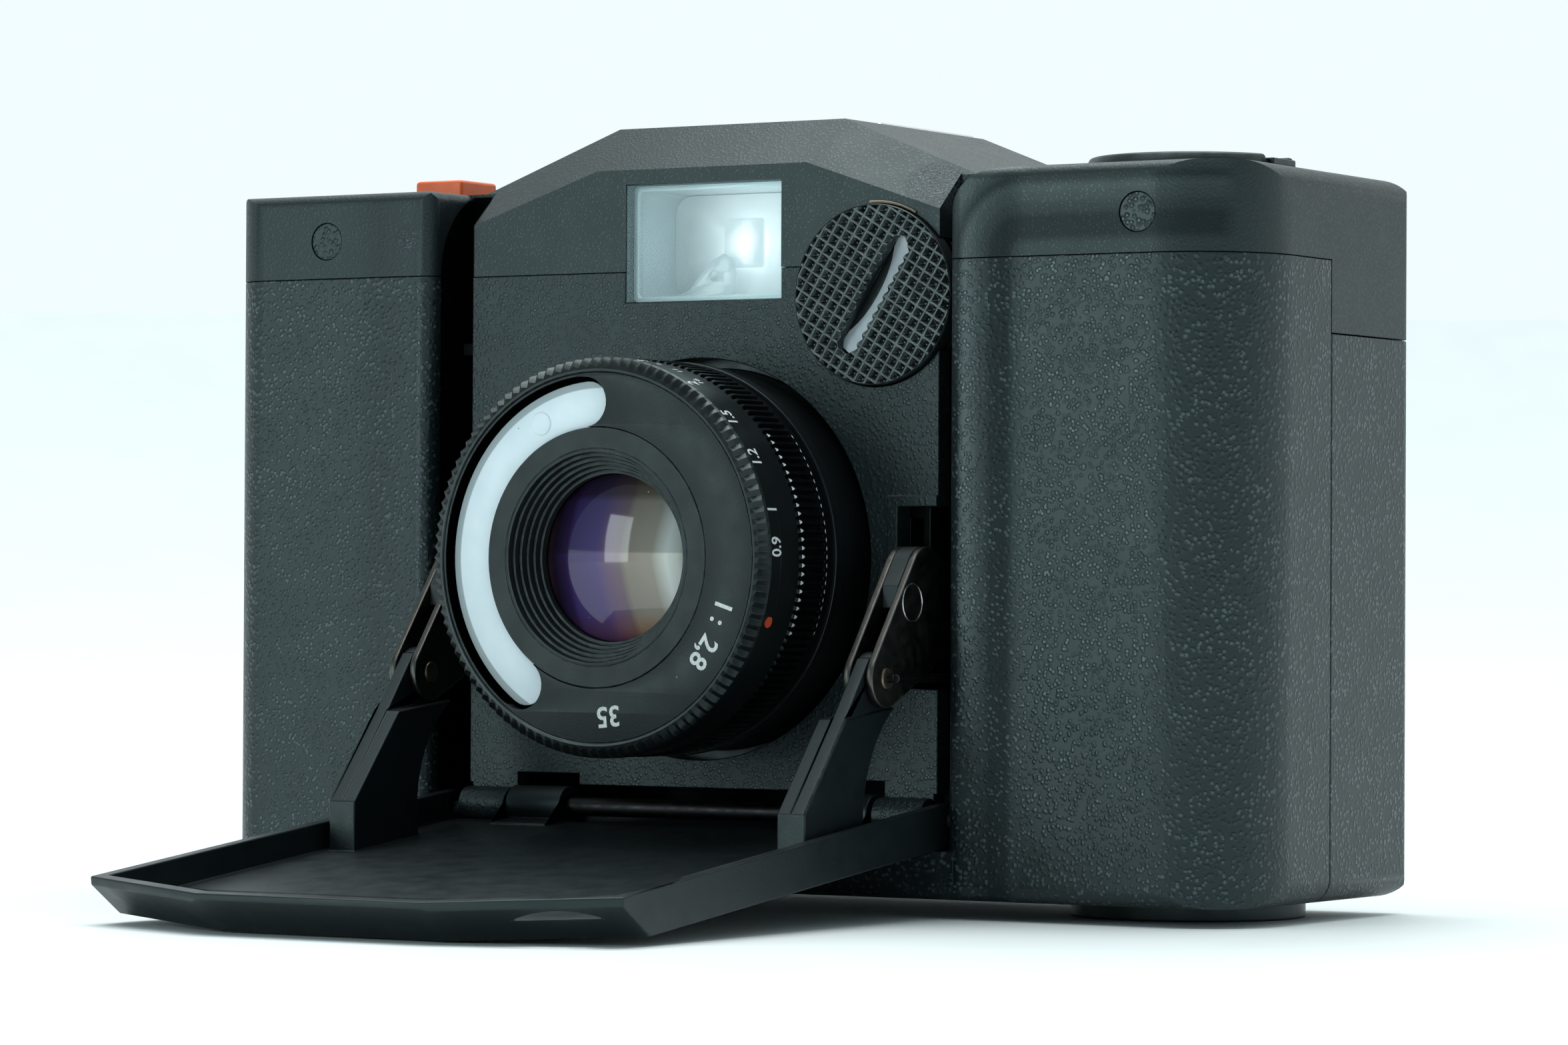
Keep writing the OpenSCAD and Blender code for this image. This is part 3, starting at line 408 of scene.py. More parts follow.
battery_spot = middle("battery_cap")
scuffs = [((battery_spot.x + 4.4, battery_spot.y + 1.5, battery_spot.z + 8.4), 2.4),
          ((low("front_shell").x + 19.5, low("front_shell").y + 0.3, high("front_shell").z + 3.2), 1.0)]
PAINTS = {
    "textured_plastic": moulded("textured_plastic", (0.0058, 0.0098, 0.0112), 0.30, 0.04, 0.36, crown=True,
                                pebble_highlight=(0.055, 0.073, 0.078)),
    "panel_plastic": moulded("panel_plastic", (0.0058, 0.0098, 0.0108), 0.26, 0.03, 0.42),
    "cover_plastic": moulded("cover_plastic", (0.0056, 0.0092, 0.0102), 0.2, 0.010, 0.42, wear=scuffs,
                             crown=True, pebble_highlight=(0.009, 0.0145, 0.016)),
    "door_plastic": satin("door_plastic", (0.0032, 0.0052, 0.0062), 0.42, 0.25, 0.01, (0.03, 0.039, 0.045)),
    "fitting_plastic": satin("fitting_plastic", (0.007, 0.009, 0.010), 0.4, 0.2, 0.008, (0.04, 0.047, 0.05)),
    "inner_plastic": satin("inner_plastic", (0.0022, 0.0026, 0.003), 0.6, 0.2, 0.008, glossy=0.3),
    "lens_black": satin("lens_black", (0.0045, 0.0055, 0.006), 0.34, 0.15, 0.004, (0.07, 0.078, 0.08), 0.42),
    "shutter_steel": metal("shutter_steel", (0.12, 0.12, 0.13), 0.4, None, 0.3),
    "link_steel": metal("link_steel", (0.085, 0.084, 0.078), 0.36, (0.58, 0.55, 0.50), 0.5),
    "link_block_black": satin("link_block_black", (0.008, 0.008, 0.009), 0.5, 0.2, 0.01),
    "pin_brass": metal("pin_brass", (0.25, 0.19, 0.14), 0.4, (0.5, 0.42, 0.33), 0.5),
    "bright_steel": metal("bright_steel", (0.72, 0.74, 0.76), 0.22, (0.9, 0.92, 0.94), 0.15, (1, 12, 1)),
    "plate_black": satin("plate_black", (0.011, 0.013, 0.0135), 0.40, 0.14, 0.014, (0.09, 0.1, 0.105), 0.3),
    "scale_white": satin("scale_white", (0.75, 0.78, 0.8), 0.4, 0.3, 0.002),
    "release_orange": satin("release_orange", (0.85, 0.13, 0.02), 0.38, 0.25, 0.006, (0.95, 0.3, 0.1)),
    "finder_glass": glass("finder_glass", (0.55, 0.80, 0.84), 0.12),
    "coated_glass": glass("coated_glass", (0.02, 0.015, 0.03), 0.16, 0.015),
}
FINDER_AT = middle("finder_window")
# Depths of the middles of the glowing places: at the back of the finder, and half way in.
FINDER_BACK, FINDER_HALF = 19.2, 14
# Painted light: these finder paints glow, brightest at the given points.
FINDER_VIEW = glowing("finder_view", (FINDER_AT.x + 1.6, FINDER_BACK, FINDER_AT.z + 0.2), (1.5, 8.0),
                      (0.88, 0.97, 0.99), (0.46, 0.52, 0.53), 0.45)
FINDER_EYE = glowing("finder_eye", (FINDER_AT.x + 0.2, FINDER_BACK, FINDER_AT.z + 0.2), (1.2, 2.6),
                     (1, 1, 1), (0.88, 0.97, 0.99), 0.6)
FINDER_WALL = glowing("finder_wall", (FINDER_AT.x + 4, FINDER_HALF, FINDER_AT.z - 2), (3, 14),
                      (0.68, 0.80, 0.82), (0.38, 0.46, 0.48), 0.28)
FINDER_RIM = glowing("finder_rim", (FINDER_AT.x + 7, FINDER_HALF, FINDER_AT.z), (1, 16),
                     (0.62, 0.86, 0.88), (0.34, 0.44, 0.46), 0.3)
PITTED = satin("pitted_plastic", (0.003, 0.004, 0.0045), 0.24, 0.06, 0.006, (0.22, 0.26, 0.27), 0.4)
# Painted highlight: the coin slot's floor is pale grey in black plastic.
SCOOP_HIGHLIGHT = satin("scoop_painted_highlight", (0.46, 0.52, 0.55), 0.3, 0.2, 0.004)
RIDGED = satin("ridged_black", (0.0015, 0.002, 0.0022), 0.3, 0.3, 0.002, glossy=0.25)
# Painted shade: near black and without gloss, for the meter slot's floor and wall.
WELL_SHADE = satin("well_painted_shade", (0.0008, 0.0009, 0.001), 0.9, 0.3, 0.003, glossy=0.0)
DARK_WIRE = metal("dark_wire", (0.03, 0.03, 0.032), 0.4, (0.12, 0.12, 0.12), 0.4)
DIMPLED = moulded("dimpled_plastic", (0.008, 0.0125, 0.014), 0.32, 0.07, 0.34)
LENS_GLASS = lens_paint()
EYEPIECE_GLASS = satin("eyepiece_glass", (0.012, 0.018, 0.022), 0.08, 1.5, 0.0005, glossy=0.8)
DIFFUSER = diffuser_paint()
WHITE_INK = ink("white_ink", (0.8, 0.83, 0.84))
RED_INK = ink("red_ink", (0.6, 0.07, 0.02))


# ---- mesh building ----

def added(name, data):
    """A new object in the scene."""
    o = bpy.data.objects.new(name, data)
    bpy.context.scene.collection.objects.link(o)
    return o


def closed_mesh(name, verts, faces, merge, sliver=0.0):
    """A mesh with its double points merged, its slivers dissolved and its faces turned outwards."""
    mesh = bpy.data.meshes.new(name)
    mesh.from_pydata(verts, [], faces)
    bm = bmesh.new()
    bm.from_mesh(mesh)
    bmesh.ops.remove_doubles(bm, verts=bm.verts, dist=merge)
    if sliver:
        bmesh.ops.dissolve_degenerate(bm, edges=bm.edges, dist=sliver)
    bmesh.ops.recalc_face_normals(bm, faces=bm.faces)
    bm.to_mesh(mesh)
    bm.free()
    return mesh


def smoothed(mesh, angle):
    """Shades a mesh smooth, but for edges sharper than angle degrees."""
    mesh.polygons.foreach_set("use_smooth", [True] * len(mesh.polygons))
    mesh.set_sharp_from_angle(angle=math.radians(angle))


def taken(o):
    """An object's points and faces, with its modifiers applied."""
    mesh = bpy.data.meshes.new_from_object(o.evaluated_get(bpy.context.evaluated_depsgraph_get()))
    points, faces = [tuple(v.co) for v in mesh.vertices], [list(f.vertices) for f in mesh.polygons]
    bpy.data.meshes.remove(mesh)
    return points, faces


def bands(count, n):
    """The four-sided faces between count + 1 closed rings of n points each."""
    return [[r * n + i, r * n + (i + 1) % n, (r + 1) * n + (i + 1) % n, (r + 1) * n + i]
            for r in range(count) for i in range(n)]


def rounded(o, width):
    m = o.modifiers.new("edges", "BEVEL")
    m.width, m.segments, m.limit_method, m.angle_limit = width * MM, 2, "ANGLE", math.radians(32)
    m.use_clamp_overlap = False
    m.harden_normals = True


class Shape:
    """Collects the points and faces of one piece."""

    def __init__(self):
        self.verts, self.faces = [], []

    def add(self, verts, faces):
        start = len(self.verts)
        self.verts += [Vector(v) for v in verts]
        self.faces += [[start + i for i in f] for f in faces]
        return self

    def turned(self, seat, profile, count=96, other=None, steps=((0, 0),), start=0.0, sweep=TURN):
        """Sweeps a closed profile of (radius, height) round the seat's axis. With other given, each of count
        teeth passes through steps of (share of the tooth, share of the way from profile to other)."""
        other = other or profile
        whole = abs(sweep - TURN) < 1e-6
        turns = [(i + t, s) for i in range(count) for t, s in steps] + ([] if whole else [(count, 0)])
        rings = [[seat.polar(a[0] + (b[0] - a[0]) * s, start + sweep * t / count, a[1] + (b[1] - a[1]) * s)
                  for a, b in zip(profile, other)] for t, s in turns]
        n, m = len(profile), len(rings)
        faces = [[i * n + k, i * n + (k + 1) % n, (i + 1) % m * n + (k + 1) % n, (i + 1) % m * n + k]
                 for i in range(m if whole else m - 1) for k in range(n)]
        if not whole:
            faces += [list(range(n)), list(range((m - 1) * n, m * n))]
        return self.add([p for ring in rings for p in ring], faces)

    def prism(self, seat, outline, z0, z1, chamfer=0.0):
        """A closed outline of (x, y) points between two heights, with a chamfer at its upper edge."""
        n = len(outline)
        centre = (sum(x for x, _ in outline) / n, sum(y for _, y in outline) / n)
        rings = [(1.0, z0), (1.0, z1 - chamfer)]
        span = max(math.dist(p, centre) for p in outline)
        if chamfer:
            rings.append((1 - chamfer / span, z1))
        verts = [seat.at(centre[0] + (x - centre[0]) * k, centre[1] + (y - centre[1]) * k, z)
                 for k, z in rings for x, y in outline]
        caps = [list(range(n))[::-1], list(range((len(rings) - 1) * n, len(rings) * n))]
        return self.add(verts, bands(len(rings) - 1, n) + caps)

    def piece(self, name, body, slot, paint=None, replaces=(), smooth=28):
        """Makes the piece: merged, turned outwards, shaded, painted and riding on its body."""
        mesh = closed_mesh(name, [v * MM for v in self.verts], self.faces, 1e-7, 1e-8)
        mesh.materials.append(paint or PAINTS[slot])
        smoothed(mesh, smooth)
        o = added(name, mesh)
        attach(o, body)
        if replaces:
            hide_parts(*replaces)


def arc(x, y, r, a0, a1, count=10):
    """Points on an arc, angles in degrees."""
    return [(x + r * math.cos(math.radians(a0 + (a1 - a0) * i / count)),
             y + r * math.sin(math.radians(a0 + (a1 - a0) * i / count))) for i in range(count + 1)]


def on_circle(r, degrees):
    return r * math.cos(math.radians(degrees)), r * math.sin(math.radians(degrees))


def rounded_box(w, h, r, count=8):
    """A rectangle of half sizes w and h with rounded corners."""
    return (arc(w - r, h - r, r, 0, 90, count) + arc(r - w, h - r, r, 90, 180, count)
            + arc(r - w, r - h, r, 180, 270, count) + arc(w - r, r - h, r, 270, 360, count))


def plate(seat, loops, z0, z1, edge=0.05):
    """A flat plate with holes and rounded edges between two heights: the first loop is its outline."""
    curve = bpy.data.curves.new("plate", "CURVE")
    curve.dimensions, curve.fill_mode = "2D", "BOTH"
    curve.extrude, curve.bevel_depth, curve.bevel_resolution = (z1 - z0) / 2 - edge, edge, 1
    curve.offset = -edge
    for loop in loops:
        spline = curve.splines.new("POLY")
        spline.points.add(len(loop) - 1)
        for point, (x, y) in zip(spline.points, loop):
            point.co = (x, y, 0, 1)
        spline.use_cyclic_u = True
    o = added("plate", curve)
    points, faces = taken(o)
    bpy.data.objects.remove(o)
    return [seat.at(x, y, z + (z0 + z1) / 2) for x, y, z in points], faces


def lettering(text, size):
    """Flat figures as (points, faces), centred on the origin."""
    curve = bpy.data.curves.new("figure", "FONT")
    curve.body, curve.size, curve.align_x, curve.align_y = text, size, "CENTER", "CENTER"
    curve.resolution_u = 3
    curve.offset = 0.018 * size
    o = added("figure", curve)
    points, faces = taken(o)
    bpy.data.objects.remove(o)
    return points, faces


# How far figures stand off the face that they are printed on.
INK_LIFT = 0.02


def print_flat(shape, seat, text, size, x, y, lift, turn):
    """Figures on a flat face."""
    local = seat.moved(x, y, lift, turn)
    points, faces = lettering(text, size)
    shape.add([local.at(p[0], p[1]) for p in points], faces)


def print_round(shape, seat, text, size, radius, angle, height, tall=1.0):
    """Figures wrapped on a cylinder, reading anticlockwise with their tops outwards along the seat's axis."""
    points, faces = lettering(text, size)
    turn, r = math.radians(angle), radius + INK_LIFT
    shape.add([seat.polar(r, turn + x / radius, height + y * tall) for x, y, _ in points], faces)


# ---- CAD nodes that keep their shape ----

def keep(node, paint, bevel=0.0):
    """Paints a CAD node and rounds its edges, or keeps them sharp where bevel is 0."""
    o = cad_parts[node]
    o.data.materials.clear()
    o.data.materials.append(paint)
    o.data.polygons.foreach_set("use_smooth", [True] * len(o.data.polygons))
    weld = o.modifiers.new("weld", "WELD")
    weld.merge_threshold = 2e-6
    flat = o.modifiers.new("flat", "DECIMATE")
    flat.decimate_type, flat.angle_limit = "DISSOLVE", math.radians(0.4)
    if bevel:
        rounded(o, bevel)
    else:
        split = o.modifiers.new("split", "EDGE_SPLIT")
        split.split_angle = math.radians(20)
    normals = o.modifiers.new("normals", "WEIGHTED_NORMAL")
    normals.keep_sharp = True


KEPT = {
    "textured_plastic": {"front_shell": 0.12, "back_cover": 0.12},
    "cover_plastic": {"top_cover": 0.0},
    "panel_plastic": {"front_panel": 0.1},
    "door_plastic": {"door": 0.14},
    "fitting_plastic": {"lock_disc": 0.2, "film_speed_dial": 0.2, "advance_lever": 0.3,
                        "eyepiece_frame": 0.25, "rewind_release_button": 0.15,
                        "battery_check_button": 0.2, "rewind_knob": 0.2, "rewind_crank": 0.12},
    "inner_plastic": {"chassis": 0.05, "chassis_roof": 0.05, "film_gate": 0.1, "finder_housing": 0.1,
                      "battery_tube": 0.1, "take_up_spool": 0.2},
    "lens_black": {"lens_carriage": 0.12, "lens_barrel": 0.06, "rear_lens_cell": 0.1, "aperture_plate": 0.0},
    "shutter_steel": {"left_shutter_blade": 0.0, "right_shutter_blade": 0.0},
    "link_steel": {"left_link_plates": 0.12, "right_link_plates": 0.12},
    "release_orange": {"release_button": 0.3},
    "link_block_black": {"left_link_block": 0.1, "right_link_block": 0.1},
    "pin_brass": {"left_link_pins": 0.15, "right_link_pins": 0.15, "flash_contact": 0.2,
                  "battery_spring": 0.1},
    "bright_steel": {"hot_shoe": 0.08, "guide_rods": 0.1, "rewind_shaft": 0.2, "battery": 0.3,
                     "pressure_spring": 0.05},
    "plate_black": {"pressure_plate": 0.1},
    "scale_white": {"finder_scale": 0.03, "counter_dial": 0.05},
    "finder_glass": {"finder_window": 0.05, "finder_lens": 0.05, "counter_window": 0.05},
    "coated_glass": {"rear_lens": 0.1},
}


# ---- lens ----

lens = facing_front(middle("focus_ring").x, low("focus_ring").y, middle("focus_ring").z)
ring_r = (high("focus_ring").x - low("focus_ring").x) / 2
plate_r = (high("face_plate").x - low("face_plate").x) / 2
band_z = low("focus_ring").y - high("focus_ring").y
plain_z = low("focus_ring").y - low("aperture_ring").y
rim_z = low("focus_ring").y - high("aperture_ring").y
well_r = (high("baffle_ring").x - low("baffle_ring").x) / 2
SLOT_FROM, SLOT_TO = 95, 235
SLOT_IN, SLOT_OUT = 10.6, plate_r - 0.2
DIFFUSER_OUT = 14.45
PLATE_BACK, PLATE_FRONT = -1.0, -0.1
NOTCHES, RIDGES = 110, 146


def focus_ring():
    """The front ring: plain lip, a row of diamond notches over its corner, and a smooth band."""
    inner = plate_r + 0.05
    tooth = [(inner, band_z), (inner, -0.1), (inner + 0.08, -0.02), (ring_r - 1.0, 0), (ring_r - 0.62, -0.05),
             (ring_r - 0.36, -0.16), (ring_r - 0.16, -0.36), (ring_r - 0.05, -0.62), (ring_r, -1.0),
             (ring_r, -1.06), (ring_r, band_z + 0.12), (ring_r - 0.1, band_z)]
    notch = list(tooth)
    notch[4:8] = [(ring_r - 0.85, -0.13), (ring_r - 0.6, -0.38), (ring_r - 0.38, -0.55),
                  (ring_r - 0.12, -0.85)]
    steps = ((0, 0), (0.5, 1))
    Shape().turned(lens, tooth, NOTCHES, notch, steps).piece(
        "focus_ring_notched", "focus", "lens_black", replaces=["focus_ring"], smooth=18)


def focus_figures():
    white = Shape()
    line = (band_z - 1.06) / 2
    for text, angle in (("0.9", 3.1), ("1", 13.7), ("1.2", 29.6), ("1.5", 43.7), ("2", 59.6), ("3", 78),
                        ("5", 96), ("10", 113)):
        print_round(white, lens, text, 1.35, ring_r, angle, line, tall=1.4)
    white.piece("focus_figures", "focus", "scale_white", paint=WHITE_INK)
    mark = lens.polar(ring_r, math.radians(-18.4), line)
    out = (mark - lens.at(0, 0, line)).normalized()
    dimple = Seat(mark, lens.out.cross(out) * -1, lens.out)
    profile = [(0, 0.0), (0.22, 0.02), (0.34, 0.06), (0.46, 0.05), (0.46, -0.1), (0, -0.1)]
    Shape().turned(dimple, profile, 20).piece("focus_dot", "focus", "release_orange", paint=RED_INK)


def aperture_ring():
    """The rear ring with fine square ridges along the axis."""
    front, back, bore = plain_z, rim_z, ring_r - 1.6
    top = [(bore, back), (bore, front), (ring_r - 0.35, front), (ring_r - 0.05, front - 0.22),
           (ring_r, front - 0.4), (ring_r, back + 1.5), (ring_r - 0.04, back + 1.34),
           (ring_r - 0.3, back + 1.3), (ring_r - 0.3, back)]
    groove = list(top)
    groove[3:7] = [(ring_r - 0.34, front - 0.05), (ring_r - 0.34, front - 0.4), (ring_r - 0.34, back + 1.5),
                   (ring_r - 0.34, back + 1.34)]
    steps = ((0, 0), (0.3, 0), (0.5, 1), (0.8, 1))
    Shape().turned(lens, top, RIDGES, groove, steps).piece(
        "aperture_ring_ridged", "aperture", "lens_black", paint=RIDGED, replaces=["aperture_ring"], smooth=24)


def aperture_glints():
    """Painted glints: white marks on the ridges' front ends and along the ring's rear edge, over part of the
    ring only.
    """
    bright = Shape()
    for i in range(-9, 16):
        turn = TURN * (i + 0.15) / RIDGES
        for half, z0, z1 in ((0.011, plain_z - 0.1, plain_z - 0.5), (0.012, rim_z + 1.42, rim_z + 1.54)):
            tip = [lens.polar(ring_r + 0.015, turn + a, z) for a, z in
                   ((-half, z0), (half, z0), (half * 0.3, z1), (-half * 0.3, z1))]
            bright.add(tip, [[0, 1, 2, 3]])
    # Painted highlight in white ink.
    bright.piece("aperture_glints", "aperture", "scale_white", paint=WHITE_INK)


def barrel_figures():
    """Aperture figures on the plain band, with an index line."""
    white = Shape()
    line = (band_z + plain_z) / 2
    band_r = (high("lens_barrel").x - low("lens_barrel").x) / 2
    for text, angle in (("16", 62), ("11", 70), ("8", 77), ("4", 84), ("4", 96), ("8", 103), ("11", 110),
                        ("16", 118)):
        print_round(white, lens, text, 1.0, band_r, angle, line + 0.3)
    for angle in (62, 70, 77, 84, 90, 96, 103, 110, 118):
        half = 0.05 if angle != 90 else 0.09
        turn = math.radians(angle)
        white.add([lens.polar(band_r + INK_LIFT, turn + s * half / band_r, line + z) for s, z in
                   ((-1, 0.95), (1, 0.95), (1, 1.3), (-1, 1.3))], [[0, 1, 2, 3]])
    white.piece("barrel_figures", "lens", "scale_white", paint=WHITE_INK)


def slot_ends(r):
    return [on_circle(r, angle) for angle in (SLOT_FROM, SLOT_TO)]


def face_rings():
    """The front plate: an outer ring with the light meter slot, a fine groove, and an inner ring."""
    back, front, groove = PLATE_BACK, PLATE_FRONT, 0.07
    mid, half = (SLOT_IN + SLOT_OUT) / 2, (SLOT_OUT - SLOT_IN) / 2
    ends = slot_ends(mid)
    opening = (arc(0, 0, SLOT_IN + groove, SLOT_TO, SLOT_FROM + 360, 80)
               + arc(*ends[0], half - groove, SLOT_FROM + 180, SLOT_FROM + 360, 14)[1:]
               + arc(0, 0, SLOT_OUT, SLOT_FROM, SLOT_TO, 60)[1:-1]
               + arc(*ends[1], half - groove, SLOT_TO, SLOT_TO + 180, 14)[:-1])
    shape = Shape().add(*plate(lens, [arc(0, 0, plate_r, 0, 360, 144)[:-1], opening], back, front, 0.04))
    shape.turned(lens, [(well_r, back), (well_r, front - 0.05), (well_r + 0.05, front),
                        (SLOT_IN - groove, front), (SLOT_IN, front - 0.07), (SLOT_IN, back)], 120)
    shape.piece("face_plate_rings", "lens", "plate_black", replaces=["face_plate"])


def meter_well():
    """The floor and outer wall of the light meter's slot, painted near black without gloss as painted shade.
    """
    a0, a1, shelf = SLOT_FROM - 12, SLOT_TO + 12, PLATE_BACK + 0.02
    lip = PLATE_FRONT - 0.05
    outline = arc(0, 0, plate_r - 0.06, a0, a1, 70) + arc(0, 0, SLOT_IN - 0.1, a1, a0, 70)
    well = Shape().add(*plate(lens, [outline], PLATE_BACK - 0.02, shelf + 0.06, 0.02))
    inner, outer = SLOT_OUT - 0.05, SLOT_OUT + 0.03
    wall = [(inner, shelf), (inner, lip), (outer, lip), (outer, shelf)]
    start, end = math.radians(SLOT_FROM - 2), math.radians(SLOT_TO + 2)
    well.turned(lens, wall, 70, start=start, sweep=end - start)
    well.piece("meter_well", "lens", "inner_plastic", paint=WELL_SHADE)


def plate_figures():
    white = Shape()
    for text, angle in (("1", -17.5), (":", -23.5), ("2,8", -36), ("35", -84)):
        turn = math.radians(angle) - math.pi / 2
        print_flat(white, lens, text, 2.35, *on_circle(12.9, angle), PLATE_FRONT + 0.012, turn)
    white.piece("plate_figures", "lens", "scale_white", paint=WHITE_INK)


def meter_window():
    """The pale diffuser at the bottom of the slot, with a small round bump."""
    depth, gap = -0.76, 0.05
    mid, half = (SLOT_IN + DIFFUSER_OUT) / 2, (DIFFUSER_OUT - SLOT_IN) / 2 - gap
    ends = slot_ends(mid)
    outline = (arc(0, 0, mid + half, SLOT_FROM, SLOT_TO, 48) + arc(*ends[1], half, SLOT_TO, SLOT_TO + 180, 12)
               + arc(0, 0, mid - half, SLOT_TO, SLOT_FROM, 48)
               + arc(*ends[0], half, SLOT_FROM + 180, SLOT_FROM + 360, 12))
    shape = Shape().add(*plate(lens, [outline], depth - 0.16, depth, 0.05))
    bump_at = lens.moved(*on_circle(12.4, 118), depth)
    shape.turned(bump_at, [(0, 0.14), (0.6, 0.13), (0.9, 0.08), (1.0, 0.0), (1.0, -0.2), (0, -0.2)], 32)
    shape.piece("meter_diffuser", "lens", "meter_grey", paint=DIFFUSER, replaces=["meter_window"])


def baffle():
    """Five ribs that step down to the glass."""
    inner_r, bottom = 6.9, -2.55
    profile = [(well_r, -3.2), (well_r, -0.14), (well_r - 0.1, -0.1), (well_r - 0.3, -0.12)]
    ribs = 5
    pitch = (well_r - 0.3 - inner_r) / ribs
    fall = (-0.12 - bottom) / ribs
    for i in range(ribs):
        r, z = well_r - 0.3 - pitch * i, -0.12 - fall * i
        profile += [(r - 0.05, z - fall - 0.12), (r - 0.13, z - fall - 0.12), (r - 0.16, z - fall + 0.02),
                    (r - pitch, z - fall)]
    profile += [(inner_r, -3.2)]
    Shape().turned(lens, profile, 120).piece("baffle_ribs", "lens", "plate_black", replaces=["baffle_ring"])


def lens_glass():
    """The front element, a shallow dome deep in the ribs."""
    z, r, bulge, thick, steps = -3.3, 6.85, 1.5, 0.3, 16
    sphere = (r * r + bulge * bulge) / (2 * bulge)
    dome = [(r * i / steps, z + math.sqrt(sphere ** 2 - (r * i / steps) ** 2) - (sphere - bulge))
            for i in range(steps + 1)]
    Shape().turned(lens, dome + [(r, z - thick), (0, z - thick)], 96).piece(
        "front_element", "lens", "coated_glass", paint=LENS_GLASS, replaces=["front_lens"], smooth=40)


# ---- battery cap ----

cap = facing_front(middle("battery_cap").x, low("battery_cap").y, middle("battery_cap").z)
cap = cap.moved(0, 0, 0, math.radians(-32))
cap_r = (high("battery_cap").x - low("battery_cap").x) / 2
# The coin slot's half width and half length, and the thickness of the part with the pits.
COIN_W, COIN_L, CAP_THICK = 0.95, 5.5, 1.2


def cut_by(shape, cutter, operation):
    """The boolean of two closed shapes."""
    objects = [added("cut", closed_mesh("cut", s.verts, s.faces, 1e-4)) for s in (shape, cutter)]
    m = objects[0].modifiers.new("cut", "BOOLEAN")
    m.operation, m.object, m.solver = operation, objects[1], "EXACT"
    result = Shape().add(*taken(objects[0]))
    for o in objects:
        bpy.data.meshes.remove(o.data)
    return result


def pitted_slab(reach, pitch, wall, depth, thick):
    """A square slab at the origin, whose top is a grid of thin walls round pyramid pits."""
    shape = Shape()
    n = int(reach / pitch) + 1
    half, pit_floor = pitch / 2, 0.05
    levels = ((half, 0), ((pitch - wall) / 2, 0), (pit_floor, -depth))
    corners = ((-1, -1), (1, -1), (1, 1), (-1, 1))
    for i in range(-n, n + 1):
        for k in range(-n, n + 1):
            x, y = i * pitch, k * pitch
            shape.add([(x + a * r, y + b * r, z) for r, z in levels for a, b in corners],
                      bands(2, 4) + [[8, 9, 10, 11]])
            for a, b, edge in ((-1, 0, i == -n), (1, 0, i == n), (0, -1, k == -n), (0, 1, k == n)):
                if edge:
                    ends = [(x + (a or s) * half, y + (b or s) * half) for s in (-1, 1)]
                    shape.add([(*ends[0], 0), (*ends[1], 0), (*ends[1], -thick), (*ends[0], -thick)],
                              [[0, 1, 2, 3]])
            shape.add([(x + a * half, y + b * half, -thick) for a, b in corners], [[0, 1, 2, 3]])
    return shape


def cap_grid():
    """The cap's face: pyramid pits between thin walls, cut through by the coin slot."""
    origin = facing_up(0, 0, 0)
    disc = Shape().prism(origin, arc(0, 0, cap_r - 0.12, 0, 360, 96)[:-1], 0.1 - CAP_THICK, 0.2)
    slot = Shape().prism(origin, arc(0, COIN_L - COIN_W, COIN_W, 0, 180, 10)
                         + arc(0, COIN_W - COIN_L, COIN_W, 180, 360, 10), -CAP_THICK - 0.5, 0.5)
    face = cut_by(pitted_slab(cap_r, 0.92, 0.13, 0.42, CAP_THICK), disc, "INTERSECT")
    face = cut_by(face, slot, "DIFFERENCE")
    Shape().add([cap.at(*v) for v in face.verts], face.faces).piece(
        "battery_cap_grid", "cap", "fitting_plastic", paint=PITTED, smooth=12)


def cap_body():
    """The cap's rim and the stem behind it."""
    back, step = low("battery_cap").y - high("battery_cap").y, -CAP_THICK - 0.3
    profile = [(cap_r - 0.12, -CAP_THICK), (cap_r - 0.12, -0.1), (cap_r - 0.06, -0.02), (cap_r, -0.1),
               (cap_r, step), (cap_r - 1, -CAP_THICK - 0.5), (cap_r - 1, back), (0, back), (0, step),
               (cap_r - 0.3, step), (cap_r - 0.3, -CAP_THICK)]
    Shape().turned(cap, profile, 96).piece(
        "battery_cap_body", "cap", "fitting_plastic", replaces=["battery_cap"])


def cap_scoop():
    """The coin slot's floor, hollowed along its length and tilted across it, and painted pale grey as a
    painted highlight.
    """
    scoop, xs = Shape(), (-1.05, -0.5, 0, 0.5, 1.05)
    ends, steps, n = COIN_L - 0.15, 14, len(xs)
    for k in range(steps + 1):
        y = -ends + 2 * ends * k / steps
        fall = -0.45 - 0.95 * math.sqrt(max(0.0, 1 - (y / (ends + 0.3)) ** 2))
        scoop.verts += [cap.at(x, y, fall + 0.35 * (x / COIN_W)) for x in xs]
    scoop.faces += [[r * n + c, r * n + c + 1, r * n + c + n + 1, r * n + c + n]
                    for r in range(steps) for c in range(n - 1)]
    start = len(scoop.verts)
    scoop.verts += [v - cap.out * 0.2 for v in scoop.verts]
    scoop.faces += [[start + i for i in f] for f in scoop.faces]
    rim = ([r * n for r in range(steps + 1)] + [steps * n + c for c in range(1, n)]
           + [r * n + n - 1 for r in range(steps - 1, -1, -1)] + list(range(n - 2, 0, -1)))
    scoop.faces += [[a, b, start + b, start + a] for a, b in zip(rim, rim[1:] + rim[:1])]
    scoop.piece("battery_cap_slot", "cap", "fitting_plastic", paint=SCOOP_HIGHLIGHT, smooth=60)


def contact_leaf():
    """The brass leaf that shows along part of the cap's rim."""
    profile = [(cap_r + 0.12, -0.9), (cap_r + 0.12, -0.5), (cap_r + 0.3, -0.45), (cap_r + 0.3, -0.9)]
    Shape().turned(cap, profile, 20, start=math.radians(92), sweep=math.radians(34)).piece(
        "battery_contact_leaf", "camera_body", "pin_brass")


# ---- finder ----

